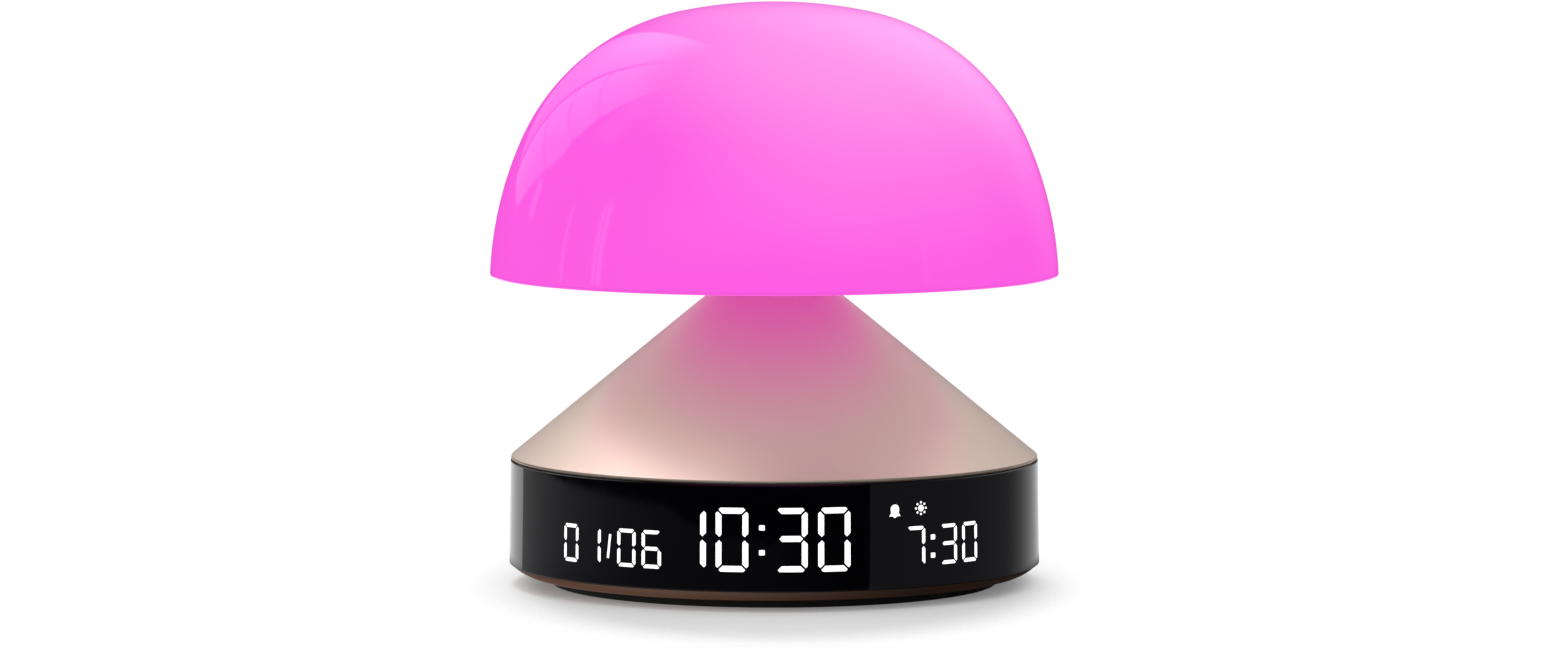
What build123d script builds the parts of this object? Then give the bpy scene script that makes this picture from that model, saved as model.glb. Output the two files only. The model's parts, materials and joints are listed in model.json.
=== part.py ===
from build123d import *
import math
import os

# Sunrise alarm clock: a mushroom-shaped lamp head over a cone, on a round base with a curved display.
# Millimetres. The origin is on the table, on the clock's axis. +Z is up and the display faces -Y.
# Angles round the axis are degrees from the front, positive towards a viewer's right.

REAR = 180.0
CLEARANCE = 0.02          # between pieces that are pressed or screwed into each other
CUT = 1.0                 # how far a cutting shape runs past the face that it cuts
DRIVE_SHARE = 0.45        # radius of a screw's drive, of its head's

# ---- Foot and base pan ----
FOOT_OUTER_R = 58.9
FOOT_INNER_R = 50.0
FOOT_SEAT = 1.0           # depth of the foot's groove in the pan
FOOT_EDGE = 0.4
PAN_LOW = 2.4             # underside of the pan, and how far the foot stands out of it
PAN_FLOOR = 2.0
PAN_LOW_R = 63.6
PAN_BULGE_R, PAN_BULGE_Z = 67.3, 3.55
PAN_HIGH_R = 69.5
PAN_HIGH = 5.2
PAN_STEP_R = 68.2         # the raised step that the display band stands on
SPIGOT_R, SPIGOT_WALL, SPIGOT_TOP = 67.1, 1.7, 8.0

# ---- Display band ----
BAND_LOW, BAND_HIGH = 5.4, 32.7
BAND_LOW_R, BAND_HIGH_R = 70.1, 69.68
BAND_INNER_R = 67.4
BAND_EDGE = 0.2
WINDOW_DEPTH = 0.5        # how far the display's windows are let into the band

# ---- Figures of the display: width, height and stroke of a figure ----
TIME_FIGURE = (8.52, 16.5, 1.62)
DATE_FIGURE = (5.7, 9.85, 1.02)
ALARM_FIGURE = (5.7, 10.38, 1.05)
TIME_HEIGHT, DATE_HEIGHT, ALARM_HEIGHT = 18.7, 15.5, 16.0
TIME_CENTRE = -2.6
TIME_CELLS = (("1", TIME_CENTRE - 15.35), ("0", TIME_CENTRE - 6.32),
              ("3", TIME_CENTRE + 6.13), ("0", TIME_CENTRE + 15.3))
DATE_CELLS = (("0", -48.6), ("1", -42.0), ("0", -32.9), ("6", -26.8))
ALARM_CELLS = (("7", 31.35), ("3", 39.95), ("0", 46.15))
LIT = {"0": "abcdef", "1": "bc", "3": "abcdg", "6": "acdefg", "7": "abc"}
# Shape of a segment, in strokes: how far its tips stand in from the outer edge, and its gaps.
TIP, SIDE_GAP, END_GAP, MIDDLE_GAP, WAIST = 0.34, 0.16, 0.30, 0.54, 0.6
MIDDLE_RISE = 0.018       # of the figure's height, by which the middle bar stands above the centre
TIME_DOT, TIME_DOT_HEIGHTS = (1.5, 1.35), (15.48, 21.85)
ALARM_COLON, ALARM_DOT, ALARM_DOT_HEIGHTS = 35.65, (1.4, 1.3), (13.4, 18.1)
SLASH_ANGLE, SLASH_HEIGHT, SLASH_SIZE, SLASH_TILT = -37.4, 15.6, (0.72, 6.2), 6.7
BELL_ANGLE, BELL_HEIGHT, BELL_R, BELL_SKIRT, BELL_CLAPPER_R = 26.25, 25.35, 1.22, 3.3, 0.5
BELL_WAIST_R = 1.1
# Heights on the bell from its middle: of its crown's centre, its waist, its rim and its clapper.
CROWN_RISE, WAIST_RISE, RIM_RISE, CLAPPER_RISE = 0.5, -0.55, -1.3, -1.2
SUN_ANGLE, SUN_HEIGHT, SUN_R, RAY_R, RAY_RING_R, RAYS = 32.6, 25.75, 0.85, 0.3, 1.5, 8

# ---- Light mask, display board and ribbon behind the band ----
DISPLAY_HALF_ANGLE = 55.0
MASK_INNER_R, MASK_OUTER_R, MASK_TOP = 64.3, 67.25, 30.5
WELL_MARGIN = 0.6         # how much larger than a figure its well in the light mask is
DISPLAY_BOARD_R, DISPLAY_BOARD_WALL = 63.4, 0.8
DISPLAY_BOARD_LOW, DISPLAY_BOARD_HIGH = 8.5, 29.5
DISPLAY_LED = (1.0, 0.5, 0.45)
RIBBON = (10.0, 0.25)
RIBBON_BEND = 1.2
RIBBON_LOW, RIBBON_HIGH = 10.9, 17.0
DISPLAY_SOCKET = (14.0, 2.2, 3.6)
DISPLAY_SOCKET_GAP = 0.5  # between the socket's flat back and the middle of the curved board

# ---- Inner deck and its pillars ----
DECK_R, DECK_THICKNESS = 67.2, 1.8
DECK_TOP = BAND_HIGH
DECK_LOW = DECK_TOP - DECK_THICKNESS
PILLAR_RING_R, PILLAR_R, PILLAR_ANGLES = 46.0, 3.5, (45, 135, 225, 315)
PILLAR_LOW = 6.9
PILLAR_BORE, PILLAR_BORE_TOP = 1.22, 20.0
BASE_SCREW_HEAD_R, BASE_SCREW_HEAD = 2.4, 1.8
BASE_SCREW_SEAT, BASE_SCREW_END = 5.4, 17.0
BASE_BOSS_R, COUNTERBORE_R, SCREW_WAY_R = 4.0, 2.7, 1.5

# ---- Cone ----
CONE_LIP_LOW, CONE_LIP_R, CONE_LIP_ROUND = 33.15, 69.62, 0.3
CONE_FOOT_R, CONE_FOOT_TOP = 69.45, 33.9
CONE_TOP_R, CONE_TOP = 16.4, 77.4
CONE_WALL = 1.6
CONE_OPENING_R = 14.2
CONE_RING_INNER_R, CONE_RING_OUTER_R = 66.2, 68.4
CONE_POST_RING_R, CONE_POST_R, CONE_POST_ANGLES = 58.0, 3.2, (0, 120, 240)
CONE_POST_BORE, CONE_POST_BORE_TOP = 1.15, 40.2
CONE_SCREW_HEAD_R, CONE_SCREW_HEAD, CONE_SCREW_END = 2.3, 1.6, 39.2

# ---- Lamp tower ----
WIRE_BORE_R = 4.5
TOWER_R, TOWER_TOP = 7.0, 87.0
TOWER_FLANGE_R, TOWER_FLANGE = 20.0, 2.5
TOWER_COLUMN_R = 12.0
SHOULDER_R, SHOULDER_LOW, SHOULDER_TOP = 16.0, 53.0, 56.0
GUSSET_REACH, GUSSET_RISE, GUSSET_WALL, GUSSET_ANGLES = 18.5, 9.0, 2.0, (45, 135, 225, 315)
TOWER_SCREW_RING_R, TOWER_SCREW_ANGLES = 16.0, (0, 90, 180, 270)
TOWER_SCREW_BOSS_R, TOWER_SCREW_BOSS = 3.2, 5.0
TOWER_SCREW_HEAD_R, TOWER_SCREW_HEAD, TOWER_SCREW_R, TOWER_SCREW_END = 2.3, 1.6, 1.15, 27.5

# ---- Lamp head ----
DOME_R, DOME_RIM = 75.03, 81.5
DOME_WALL, DOME_RIM_ROUND = 2.2, 0.6
SIDE_ARC, SHOULDER_ARC = 97.2, 59.1
RIM_LEAN, SIDE_LEAN, SHOULDER_LEAN = 2.29, 24.05, 78.8
DIFFUSER_R, DIFFUSER_LOW, DIFFUSER_WALL = 72.3, 83.7, 2.0
DIFFUSER_TOP = DIFFUSER_LOW + DIFFUSER_WALL
LEDGE_INNER_R, LEDGE_HEIGHT = 71.0, 1.6
SLEEVE_R, SLEEVE_LOW = 12.9, 66.0
SLEEVE_RUNNING_GAP = 0.05
SLEEVE_FLANGE_R, SLEEVE_FLANGE = 18.0, 1.0
SPRING_POCKET_R, SPRING_POCKET_TOP = 9.2, 72.0
LEG_IN, LEG_OUT, LEG_WIDTH, LEG_LOW = 10.4, 12.6, 5.0, 62.4
SPRING_R, SPRING_WIRE_R, SPRING_TURNS, SPRING_END_GAP = 8.1, 0.45, 5.0, 0.1
SNOOZE_SWITCH, SNOOZE_SWITCH_X = (6.0, 6.0, 3.4), 12.2
SNOOZE_PLUNGER_R, SNOOZE_PLUNGER = 1.7, 1.2

# ---- Lamp engine on top of the tower ----
SPREADER_R, SPREADER = 22.0, 2.5
LED_BOARD_R, LED_BOARD_HOLE_R, LED_BOARD = 21.0, 8.0, 1.6
LED_SIDE, LED_HEIGHT = 3.5, 1.4
LED_RINGS = ((17.0, 12), (11.6, 6))
RETAINER_RING_R, RETAINER_ANGLES = 5.75, (30, 150, 270)
RETAINER_R, RETAINER_HEAD_R, RETAINER_HEAD, RETAINER_END = 0.8, 1.4, 1.0, 81.5
WIRE_R, WIRE_RING_R, WIRE_ANGLES = 0.5, 2.3, (90, 210, 330)
WIRE_PAD_R, WIRE_CREST, WIRE_BEND = 9.3, 92.3, 0.9

# ---- Main board ----
BOARD_R, BOARD_LOW, BOARD = 60.0, 7.6, 1.6
BOARD_TOP = BOARD_LOW + BOARD
BOARD_PILLAR_HOLE_R = 4.3
BOARD_TONGUE = 13.0       # width of the tongue under the power socket
BOARD_TONGUE_END = 64.9
BOARD_POST_RING_R, BOARD_POST_R, BOARD_POST_ANGLES = 52.0, 2.8, (90, -30, -150)
BOARD_SCREW_R, BOARD_SCREW_HEAD_R, BOARD_SCREW_HEAD, BOARD_SCREW_END = 1.0, 2.0, 1.4, 4.9
BOARD_SCREW_WAY_R = 1.15
# Length, width, height, x and y of each block on the main board.
MICROCONTROLLER = (12.0, 12.0, 1.4, 8.0, -24.0)
CONTROL_CHIPS = ((6.0, 6.0, 1.2, 22.0, 30.0), (6.4, 5.0, 1.6, -14.0, 16.0), (5.0, 4.0, 1.5, -12.0, -24.0),
                 (8.0, 5.2, 1.7, 26.0, -18.0), (6.0, 6.0, 3.6, 34.0, 2.0))
LAMP_CONNECTOR = (9.0, 9.0, 4.0, 0.0, 0.0)
SPEAKER_CONNECTOR = (7.5, 5.0, 4.2, 16.0, 40.0)
RIBBON_CONNECTOR = (14.0, 4.0, 2.6, 0.0, -53.5)
SWITCH_CONNECTOR = (9.0, 4.0, 4.2, -30.0, 14.0)
CAPACITORS = ((3.1, 8.0, 24.0, 14.0), (3.1, 8.0, 24.0, 6.0), (2.5, 6.5, -14.0, 28.0))
CRYSTAL_R, CRYSTAL_LENGTH, CRYSTAL_PLACE = 1.5, 8.0, (-12.0, -34.0)

# ---- Backup cell ----
CELL_PLACE, CELL_R, CELL = (-30.0, -8.0), 10.0, 3.2
HOLDER_R, HOLDER_FLOOR, HOLDER_LIP = 11.6, 0.8, 0.2
CONTACT_WIDTH, CONTACT_WALL = 5.0, 0.35

# ---- Speaker behind the rear grille ----
SPEAKER_WIDTH, SPEAKER_HEIGHT, SPEAKER_CENTRE = 34.0, 16.0, 22.7
SPEAKER_BACK, SPEAKER_PLATE, SPEAKER_FRONT = 50.5, 61.0, 63.8
SPEAKER_BOX_WALL, SPEAKER_LEG = 1.2, (4.0, 6.0)
SPEAKER_LEG_X = 13.0
SPEAKER_HOLE = (28.0, 11.0)
SPEAKER_CUP_R, MAGNET_R, CUP_BACK = 8.0, 6.5, 57.0
MAGNET_BACK, MAGNET_FRONT, VOICE_COIL_R, COIL_FRONT = 53.5, 60.0, 3.2, 61.6
DIAPHRAGM_BACK, DIAPHRAGM, DUST_CAP_R, DUST_CAP = 62.0, 0.5, 3.5, 0.9
GRILLE_COLUMNS, GRILLE_ROWS, GRILLE_PITCH, GRILLE_HOLE_R = 11, 4, 2.8, 0.75
SPEAKER_WIRE_X, SPEAKER_WIRE_R, SPEAKER_WIRE_BEND = 1.6, 0.5, 2.0
SPEAKER_WIRE_Z = 19.0

# ---- Power socket ----
SOCKET_WIDTH, SOCKET_HEIGHT, SOCKET_WALL = 8.94, 3.26, 0.3
SOCKET_BACK, SOCKET_FRONT = 60.3, 68.9
SOCKET_Z = BOARD_TOP + SOCKET_HEIGHT / 2
TONGUE, TONGUE_FRONT = (6.69, 0.7), 67.4
SOCKET_WAY = (9.5, 3.8)   # the band's hole round the socket
SOCKET_RECESS = (13.0, 7.2)

# ---- Rear buttons ----
BUTTONS = {"light_button": -48, "dimmer_button": -36, "sound_button": -24,
           "volume_button": 24, "alarm_button": 36, "clock_button": 48}
BUTTON_Z, BUTTON_R, BUTTON_HOLE_R = 19.0, 4.0, 4.2
BUTTON_FACE, BUTTON_EDGE = 70.7, 0.5
BUTTON_FLANGE_R, BUTTON_FLANGE_FACE, BUTTON_FLANGE_BACK = 5.0, 66.9, 66.0
BUTTON_STEM_R, BUTTON_STEM_END = 1.5, 63.2
SWITCH_SIDE, SWITCH_BACK, SWITCH_FACE = 6.0, 57.7, 61.2
SWITCH_PLUNGER_R, SWITCH_PLUNGER_END = 1.75, 62.2
SWITCH_BOARD_WALL, SWITCH_BOARD_TOP = 0.8, 27.0
SWITCH_BOARD_ANGLES = (18.0, 54.0)

ON_FLOOR = (Align.CENTER, Align.CENTER, Align.MIN)


# ---- Common shapes ----
def disc(radius, low, high):
    """A disc on the clock's axis between two heights."""
    return Pos(0, 0, low) * Cylinder(radius, high - low, align=ON_FLOOR)


def ring(inner, outer, low, high):
    """A ring on the clock's axis between two heights."""
    return disc(outer, low, high) - disc(inner, low - CUT, high + CUT)


def polar(radius, angle):
    """The x and y of a point at a radius and an angle from the front."""
    turn = math.radians(angle)
    return radius * math.sin(turn), -radius * math.cos(turn)


def post(place, radius, low, high):
    """An upright round post at an x and y, between two heights."""
    return Pos(place[0], place[1], low) * Cylinder(radius, high - low, align=ON_FLOOR)


def block(size, place, low, high):
    """An upright block of a length and width at an x and y, between two heights."""
    return Pos(place[0], place[1], low) * Box(size[0], size[1], high - low, align=ON_FLOOR)


def rearward(profile, start, end):
    """A profile drawn in x and z, run along +Y from start to end."""
    return extrude(Plane(origin=(0, start, 0), x_dir=(-1, 0, 0), z_dir=(0, 1, 0)) * profile, end - start)


def facing(angle, radius, height):
    """A plane that faces outward at an angle, radius and height, with its y axis upright."""
    x, y = polar(radius, angle)
    return Plane(origin=(x, y, height), x_dir=polar(1, angle + 90) + (0,), z_dir=polar(1, angle) + (0,))


def from_rear(angle, start, length, profile):
    """A profile centred at the rear buttons' height, run outward from a radius, at an angle from the rear."""
    return extrude(facing(REAR + angle, start, BUTTON_Z) * profile, length)


def turned(corners):
    """A solid turned about the clock's axis from corners of radius and height."""
    return revolve(make_face(Plane.XZ * Polyline(*corners, close=True)), Axis.Z)


def sector(first, last, low, high):
    """A wedge about the axis between two angles, to trim a ring with."""
    reach = 2 * BAND_LOW_R
    middle = (first + last) / 2
    corners = [(0, 0), polar(reach, first), polar(reach, middle), polar(reach, last)]
    return extrude(Pos(0, 0, low) * make_face(Polyline(*corners, close=True)), high - low)


def group(pieces):
    """Separate solids of one node."""
    return Compound([solid for piece in pieces for solid in piece.solids()])


def screws(places, head_r, head, seat, shank_r, end):
    """Screws at places in x and y, with the head's bearing face at seat and the tip at end."""
    up = 1 if end < seat else -1
    made = []
    for place in places:
        low, high = sorted((seat, seat + up * head))
        shank_low, shank_high = sorted((seat, end))
        drive = post(place, head_r * DRIVE_SHARE, *sorted((seat + up * head / 2, seat + up * (head + CUT))))
        made.append(post(place, head_r, low, high) - drive + post(place, shank_r, shank_low, shank_high))
    return group(made)


def around(radius, angles):
    """Places in x and y on a circle."""
    return [polar(radius, angle) for angle in angles]


# ---- The display's figures, as faces on a plane that is centred on the figure ----
def mirrored(corners):
    """Corners with left and right swapped."""
    return [(-x, y) for x, y in corners]


def vertical_bar(width, half, stroke, middle):
    """Corners of a left upright bar that runs from the figure's middle up to its top."""
    left = -width / 2
    tip = stroke * TIP
    end = half - stroke * END_GAP
    start = middle + stroke * MIDDLE_GAP / 2
    return [(left + tip, end - tip), (left + stroke, end - stroke),
            (left + stroke, start + stroke * (1 - WAIST)), (left + stroke * WAIST, start),
            (left, start + stroke * WAIST), (left, end - 2 * tip)]


def level_bar(width, half, stroke):
    """Corners of the bar along the figure's top."""
    tip = stroke * TIP
    reach = width / 2 - stroke * SIDE_GAP
    right = [(reach - 2 * tip, half), (reach - tip, half - tip), (reach - stroke, half - stroke)]
    return right + [(-x, y) for x, y in reversed(right)]


def middle_bar(width, stroke, middle):
    """Corners of the bar across the figure's middle."""
    reach = width / 2 - stroke * (WAIST + SIDE_GAP)
    shoulder = reach - stroke / 2
    right = [(shoulder, middle + stroke / 2), (reach, middle), (shoulder, middle - stroke / 2)]
    return right + [(-x, y) for x, y in reversed(right)]


def segment_corners(width, height, stroke):
    """Corners of the seven segments, a to g."""
    half = height / 2
    middle = height * MIDDLE_RISE
    upper = vertical_bar(width, half, stroke, middle)
    lower = [(x, -y) for x, y in vertical_bar(width, half, stroke, -middle)]
    top = level_bar(width, half, stroke)
    bottom = [(x, -y) for x, y in top]
    return {"a": top, "b": mirrored(upper), "c": mirrored(lower), "d": bottom, "e": lower, "f": upper,
            "g": middle_bar(width, stroke, middle)}


def glyph(angle, height, outlines, lamps, size):
    """One sign of the display: its lit outlines, the places of its lamps and the size of its well."""
    return {"angle": angle, "height": height, "outlines": outlines, "lamps": lamps, "size": size}


def middle_of(corners):
    """The middle of an outline's bounding box."""
    across = [x for x, y in corners]
    upward = [y for x, y in corners]
    return (min(across) + max(across)) / 2, (min(upward) + max(upward)) / 2


def figures(cells, figure, height):
    """The figures of one row."""
    corners = segment_corners(*figure)
    lamps = [middle_of(corners[segment]) for segment in sorted(corners)]
    row = []
    for character, angle in cells:
        outlines = [make_face(Polyline(*corners[segment], close=True)) for segment in LIT[character]]
        row.append(glyph(angle, height, outlines, lamps, figure[:2]))
    return row


def colon(angle, dot, heights):
    """A colon of two square dots."""
    middle = sum(heights) / 2
    lamps = [(0, height - middle) for height in heights]
    outlines = [Pos(x, y) * Rectangle(*dot) for x, y in lamps]
    return glyph(angle, middle, outlines, lamps, (dot[0], heights[1] - heights[0] + dot[1]))


def slash():
    """The stroke between month and day."""
    outline = Rot(0, 0, -SLASH_TILT) * Rectangle(*SLASH_SIZE)
    size = outline.bounding_box().size
    return glyph(SLASH_ANGLE, SLASH_HEIGHT, [outline], [(0, 0)], (size.X, size.Y))


def bell():
    """A bell with a flared skirt and a clapper."""
    left = [(-BELL_R, CROWN_RISE), (-BELL_WAIST_R, WAIST_RISE), (-BELL_SKIRT / 2, RIM_RISE)]
    flare = Polyline(*left, *reversed(mirrored(left)), close=True)
    outline = make_face(flare) + Pos(0, CROWN_RISE) * Circle(BELL_R)
    outline += Pos(0, CLAPPER_RISE) * Circle(BELL_CLAPPER_R)
    return glyph(BELL_ANGLE, BELL_HEIGHT, [outline], [(0, 0)], (BELL_SKIRT, BELL_SKIRT))


def sun():
    """A sun with round rays."""
    rays = [Rot(0, 0, ray * 360 / RAYS) * Pos(RAY_RING_R, 0) * Circle(RAY_R) for ray in range(RAYS)]
    across = 2 * (RAY_RING_R + RAY_R)
    return glyph(SUN_ANGLE, SUN_HEIGHT, [Circle(SUN_R)] + rays, [(0, 0)], (across, across))


def display_signs():
    """The signs of each window node."""
    return {
        "time_digits": (figures(TIME_CELLS, TIME_FIGURE, TIME_HEIGHT)
                        + [colon(TIME_CENTRE, TIME_DOT, TIME_DOT_HEIGHTS)]),
        "date_digits": figures(DATE_CELLS, DATE_FIGURE, DATE_HEIGHT) + [slash()],
        "alarm_digits": (figures(ALARM_CELLS, ALARM_FIGURE, ALARM_HEIGHT)
                         + [colon(ALARM_COLON, ALARM_DOT, ALARM_DOT_HEIGHTS)]),
        "alarm_icons": [bell(), sun()],
    }


def prisms(signs, start, end, inset=0.0):
    """Prisms that run outward through each lit outline, from one radius to another."""
    made = []
    for sign in signs:
        base = facing(sign["angle"], start, sign["height"])
        for outline in sign["outlines"]:
            face = offset(outline, -inset) if inset else outline
            made.append(extrude(base * face, end - start))
    return made


def band_radius(height):
    """Outer radius of the tapered display band."""
    share = (height - BAND_LOW) / (BAND_HIGH - BAND_LOW)
    return BAND_LOW_R + share * (BAND_HIGH_R - BAND_LOW_R)


def make_inlay(signs):
    """Windows let into the band, flush with its outer face."""
    body = turned([(0, BAND_LOW), (BAND_LOW_R, BAND_LOW), (BAND_HIGH_R, BAND_HIGH), (0, BAND_HIGH)])
    floor = BAND_LOW_R - WINDOW_DEPTH + CLEARANCE
    return group([prism & body for prism in prisms(signs, floor, BAND_LOW_R + CUT, CLEARANCE)])


# ---- Base ----
def make_foot_ring():
    """The rubber ring that the clock stands on."""
    low_in = (FOOT_INNER_R, FOOT_EDGE)
    low_out = (FOOT_OUTER_R, FOOT_EDGE)
    top = PAN_LOW + FOOT_SEAT
    return turned([low_in, (FOOT_INNER_R + FOOT_EDGE, 0), (FOOT_OUTER_R - FOOT_EDGE, 0), low_out,
                   (FOOT_OUTER_R, top), (FOOT_INNER_R, top)])


def make_base_pan():
    """The bottom of the base, with the step and spigot that carry the display band."""
    floor = PAN_LOW + PAN_FLOOR
    edge = ThreePointArc((PAN_LOW_R, PAN_LOW), (PAN_BULGE_R, PAN_BULGE_Z), (PAN_HIGH_R, PAN_HIGH))
    spigot_inner_r = SPIGOT_R - SPIGOT_WALL
    rest = Polyline((PAN_HIGH_R, PAN_HIGH), (PAN_STEP_R, PAN_HIGH), (PAN_STEP_R, BAND_LOW),
                    (SPIGOT_R, BAND_LOW), (SPIGOT_R, SPIGOT_TOP), (spigot_inner_r, SPIGOT_TOP),
                    (spigot_inner_r, floor), (0, floor), (0, PAN_LOW), (PAN_LOW_R, PAN_LOW))
    pan = revolve(make_face(Plane.XZ * (Curve() + edge + rest)), Axis.Z)
    pan -= ring(FOOT_INNER_R - CLEARANCE, FOOT_OUTER_R + CLEARANCE, PAN_LOW - CUT, PAN_LOW + FOOT_SEAT)
    for place in around(PILLAR_RING_R, PILLAR_ANGLES):
        pan += post(place, BASE_BOSS_R, floor, PILLAR_LOW)
        pan -= post(place, COUNTERBORE_R, PAN_LOW - CUT, BASE_SCREW_SEAT)
        pan -= post(place, SCREW_WAY_R, PAN_LOW, PILLAR_LOW + CUT)
    for place in around(BOARD_POST_RING_R, BOARD_POST_ANGLES):
        pan += post(place, BOARD_POST_R, floor, BOARD_LOW)
        pan -= post(place, BOARD_SCREW_R, BOARD_SCREW_END - CLEARANCE, BOARD_LOW + CUT)
    return pan


def button_holes():
    """Round ways through the band for the rear buttons."""
    start = BAND_INNER_R - CUT
    length = BAND_LOW_R + CUT - start
    return [from_rear(angle, start, length, Circle(BUTTON_HOLE_R)) for angle in BUTTONS.values()]


def grille_holes():
    """Rows of round holes in front of the speaker."""
    holes = []
    for column in range(GRILLE_COLUMNS):
        x = (column - (GRILLE_COLUMNS - 1) / 2) * GRILLE_PITCH
        for row in range(GRILLE_ROWS):
            z = SPEAKER_CENTRE + (row - (GRILLE_ROWS - 1) / 2) * GRILLE_PITCH
            holes.append(rearward(Pos(-x, z) * Circle(GRILLE_HOLE_R), SPEAKER_FRONT, BAND_LOW_R + CUT))
    return holes


def slot_face(size, height):
    """A slot with round ends, centred on x = 0 at a height."""
    return Pos(0, height) * SlotOverall(*size)


def make_display_band(signs):
    """The glossy band round the base, with display windows, rear holes and socket."""
    edge = BAND_EDGE
    low_corner = (band_radius(BAND_LOW + edge), BAND_LOW + edge)
    high_corner = (band_radius(BAND_HIGH - edge), BAND_HIGH - edge)
    band = turned([(BAND_INNER_R, BAND_LOW), (BAND_LOW_R - edge, BAND_LOW), low_corner,
                   high_corner, (BAND_HIGH_R - edge, BAND_HIGH), (BAND_INNER_R, BAND_HIGH)])
    band -= prisms(signs, BAND_LOW_R - WINDOW_DEPTH, BAND_LOW_R + CUT)
    band -= button_holes()
    band -= grille_holes()
    band -= rearward(slot_face(SOCKET_WAY, SOCKET_Z), SPEAKER_FRONT, BAND_LOW_R + CUT)
    band -= rearward(slot_face(SOCKET_RECESS, SOCKET_Z), SOCKET_FRONT, BAND_LOW_R + CUT)
    return band


def make_inner_deck():
    """The deck on top of the band, with pillars down to the base pan."""
    deck = ring(WIRE_BORE_R, DECK_R, DECK_LOW, DECK_TOP)
    for place in around(PILLAR_RING_R, PILLAR_ANGLES):
        deck += post(place, PILLAR_R, PILLAR_LOW, DECK_LOW)
        deck -= post(place, PILLAR_BORE, PILLAR_LOW - CUT, PILLAR_BORE_TOP)
    for place in around(TOWER_SCREW_RING_R, TOWER_SCREW_ANGLES):
        deck += post(place, TOWER_SCREW_BOSS_R, DECK_LOW - TOWER_SCREW_BOSS, DECK_LOW)
        deck -= post(place, TOWER_SCREW_R, TOWER_SCREW_END - CLEARANCE, DECK_TOP + CUT)
    for place in around(CONE_POST_RING_R, CONE_POST_ANGLES):
        deck -= post(place, CONE_POST_BORE + CLEARANCE, DECK_LOW - CUT, DECK_TOP + CUT)
    return deck


# ---- Display behind the band ----
def make_light_mask(signs):
    """A curved frame with a well behind each sign."""
    mask = ring(MASK_INNER_R, MASK_OUTER_R, SPIGOT_TOP, MASK_TOP)
    mask &= sector(-DISPLAY_HALF_ANGLE, DISPLAY_HALF_ANGLE, SPIGOT_TOP, MASK_TOP)
    for sign in signs:
        width, height = sign["size"]
        well = Rectangle(width + WELL_MARGIN, height + WELL_MARGIN)
        base = facing(sign["angle"], MASK_INNER_R - CUT, sign["height"])
        mask -= extrude(base * well, MASK_OUTER_R - MASK_INNER_R + 2 * CUT)
    return mask


def make_display_board():
    """The curved board that carries the display's lamps."""
    outer = DISPLAY_BOARD_R + DISPLAY_BOARD_WALL
    board = ring(DISPLAY_BOARD_R, outer, DISPLAY_BOARD_LOW, DISPLAY_BOARD_HIGH)
    return board & sector(-DISPLAY_HALF_ANGLE, DISPLAY_HALF_ANGLE, DISPLAY_BOARD_LOW, DISPLAY_BOARD_HIGH)


def make_display_leds(signs):
    """Small lamps on the display board, one behind each segment, dot and icon."""
    radius = DISPLAY_BOARD_R + DISPLAY_BOARD_WALL
    lamps = []
    for sign in signs:
        for across, up in sign["lamps"]:
            turn = math.degrees(across / BAND_LOW_R)
            base = facing(sign["angle"] + turn, radius, sign["height"] + up)
            lamps.append(base * Box(*DISPLAY_LED, align=ON_FLOOR))
    return group(lamps)


def make_display_ribbon():
    """A flat ribbon from the main board up to the back of the display board."""
    width, wall = RIBBON
    start = RIBBON_CONNECTOR[4] - RIBBON_CONNECTOR[1] / 2
    end = -DISPLAY_BOARD_R + DISPLAY_SOCKET_GAP + DISPLAY_SOCKET[1]
    turn = (start + end) / 2
    route = [(start, RIBBON_LOW), (turn, RIBBON_LOW), (turn, RIBBON_HIGH), (end, RIBBON_HIGH)]
    strip = trace(FilletPolyline(*route, radius=RIBBON_BEND), wall)
    return extrude(Plane(origin=(-width / 2, 0, 0), x_dir=(0, 1, 0), z_dir=(1, 0, 0)) * strip, width)


# ---- Cone ----
def cone_inner_height(radius):
    """Height of the cone's inner face at a radius."""
    slope = (CONE_TOP - CONE_FOOT_TOP) / (CONE_FOOT_R - CONE_TOP_R)
    drop = CONE_WALL * math.hypot(1, slope)
    return CONE_FOOT_TOP + (CONE_FOOT_R - radius) * slope - drop


def make_cone_shell():
    """The thin-walled cone, with a locating ring and screw posts inside its foot."""
    lip = CONE_LIP_ROUND
    outside = turned([(0, CONE_LIP_LOW), (CONE_LIP_R - lip, CONE_LIP_LOW), (CONE_LIP_R, CONE_LIP_LOW + lip),
                      (CONE_FOOT_R, CONE_FOOT_TOP), (CONE_TOP_R, CONE_TOP), (0, CONE_TOP)])
    hollow = turned([(0, BAND_HIGH - CUT), (CONE_RING_INNER_R, BAND_HIGH - CUT),
                     (CONE_RING_INNER_R, cone_inner_height(CONE_RING_INNER_R)),
                     (CONE_OPENING_R, cone_inner_height(CONE_OPENING_R)),
                     (CONE_OPENING_R, CONE_TOP + CUT), (0, CONE_TOP + CUT)])
    shell = outside - hollow
    shell += ring(CONE_RING_INNER_R, CONE_RING_OUTER_R, BAND_HIGH, CONE_FOOT_TOP)
    places = around(CONE_POST_RING_R, CONE_POST_ANGLES)
    for place in places:
        shell += post(place, CONE_POST_R, CONE_LIP_LOW, CONE_TOP) & outside
        shell += post(place, CONE_POST_R, DECK_TOP, CONE_LIP_LOW + CUT)
        shell -= post(place, CONE_POST_BORE, DECK_TOP - CUT, CONE_POST_BORE_TOP)
    return shell


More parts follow.
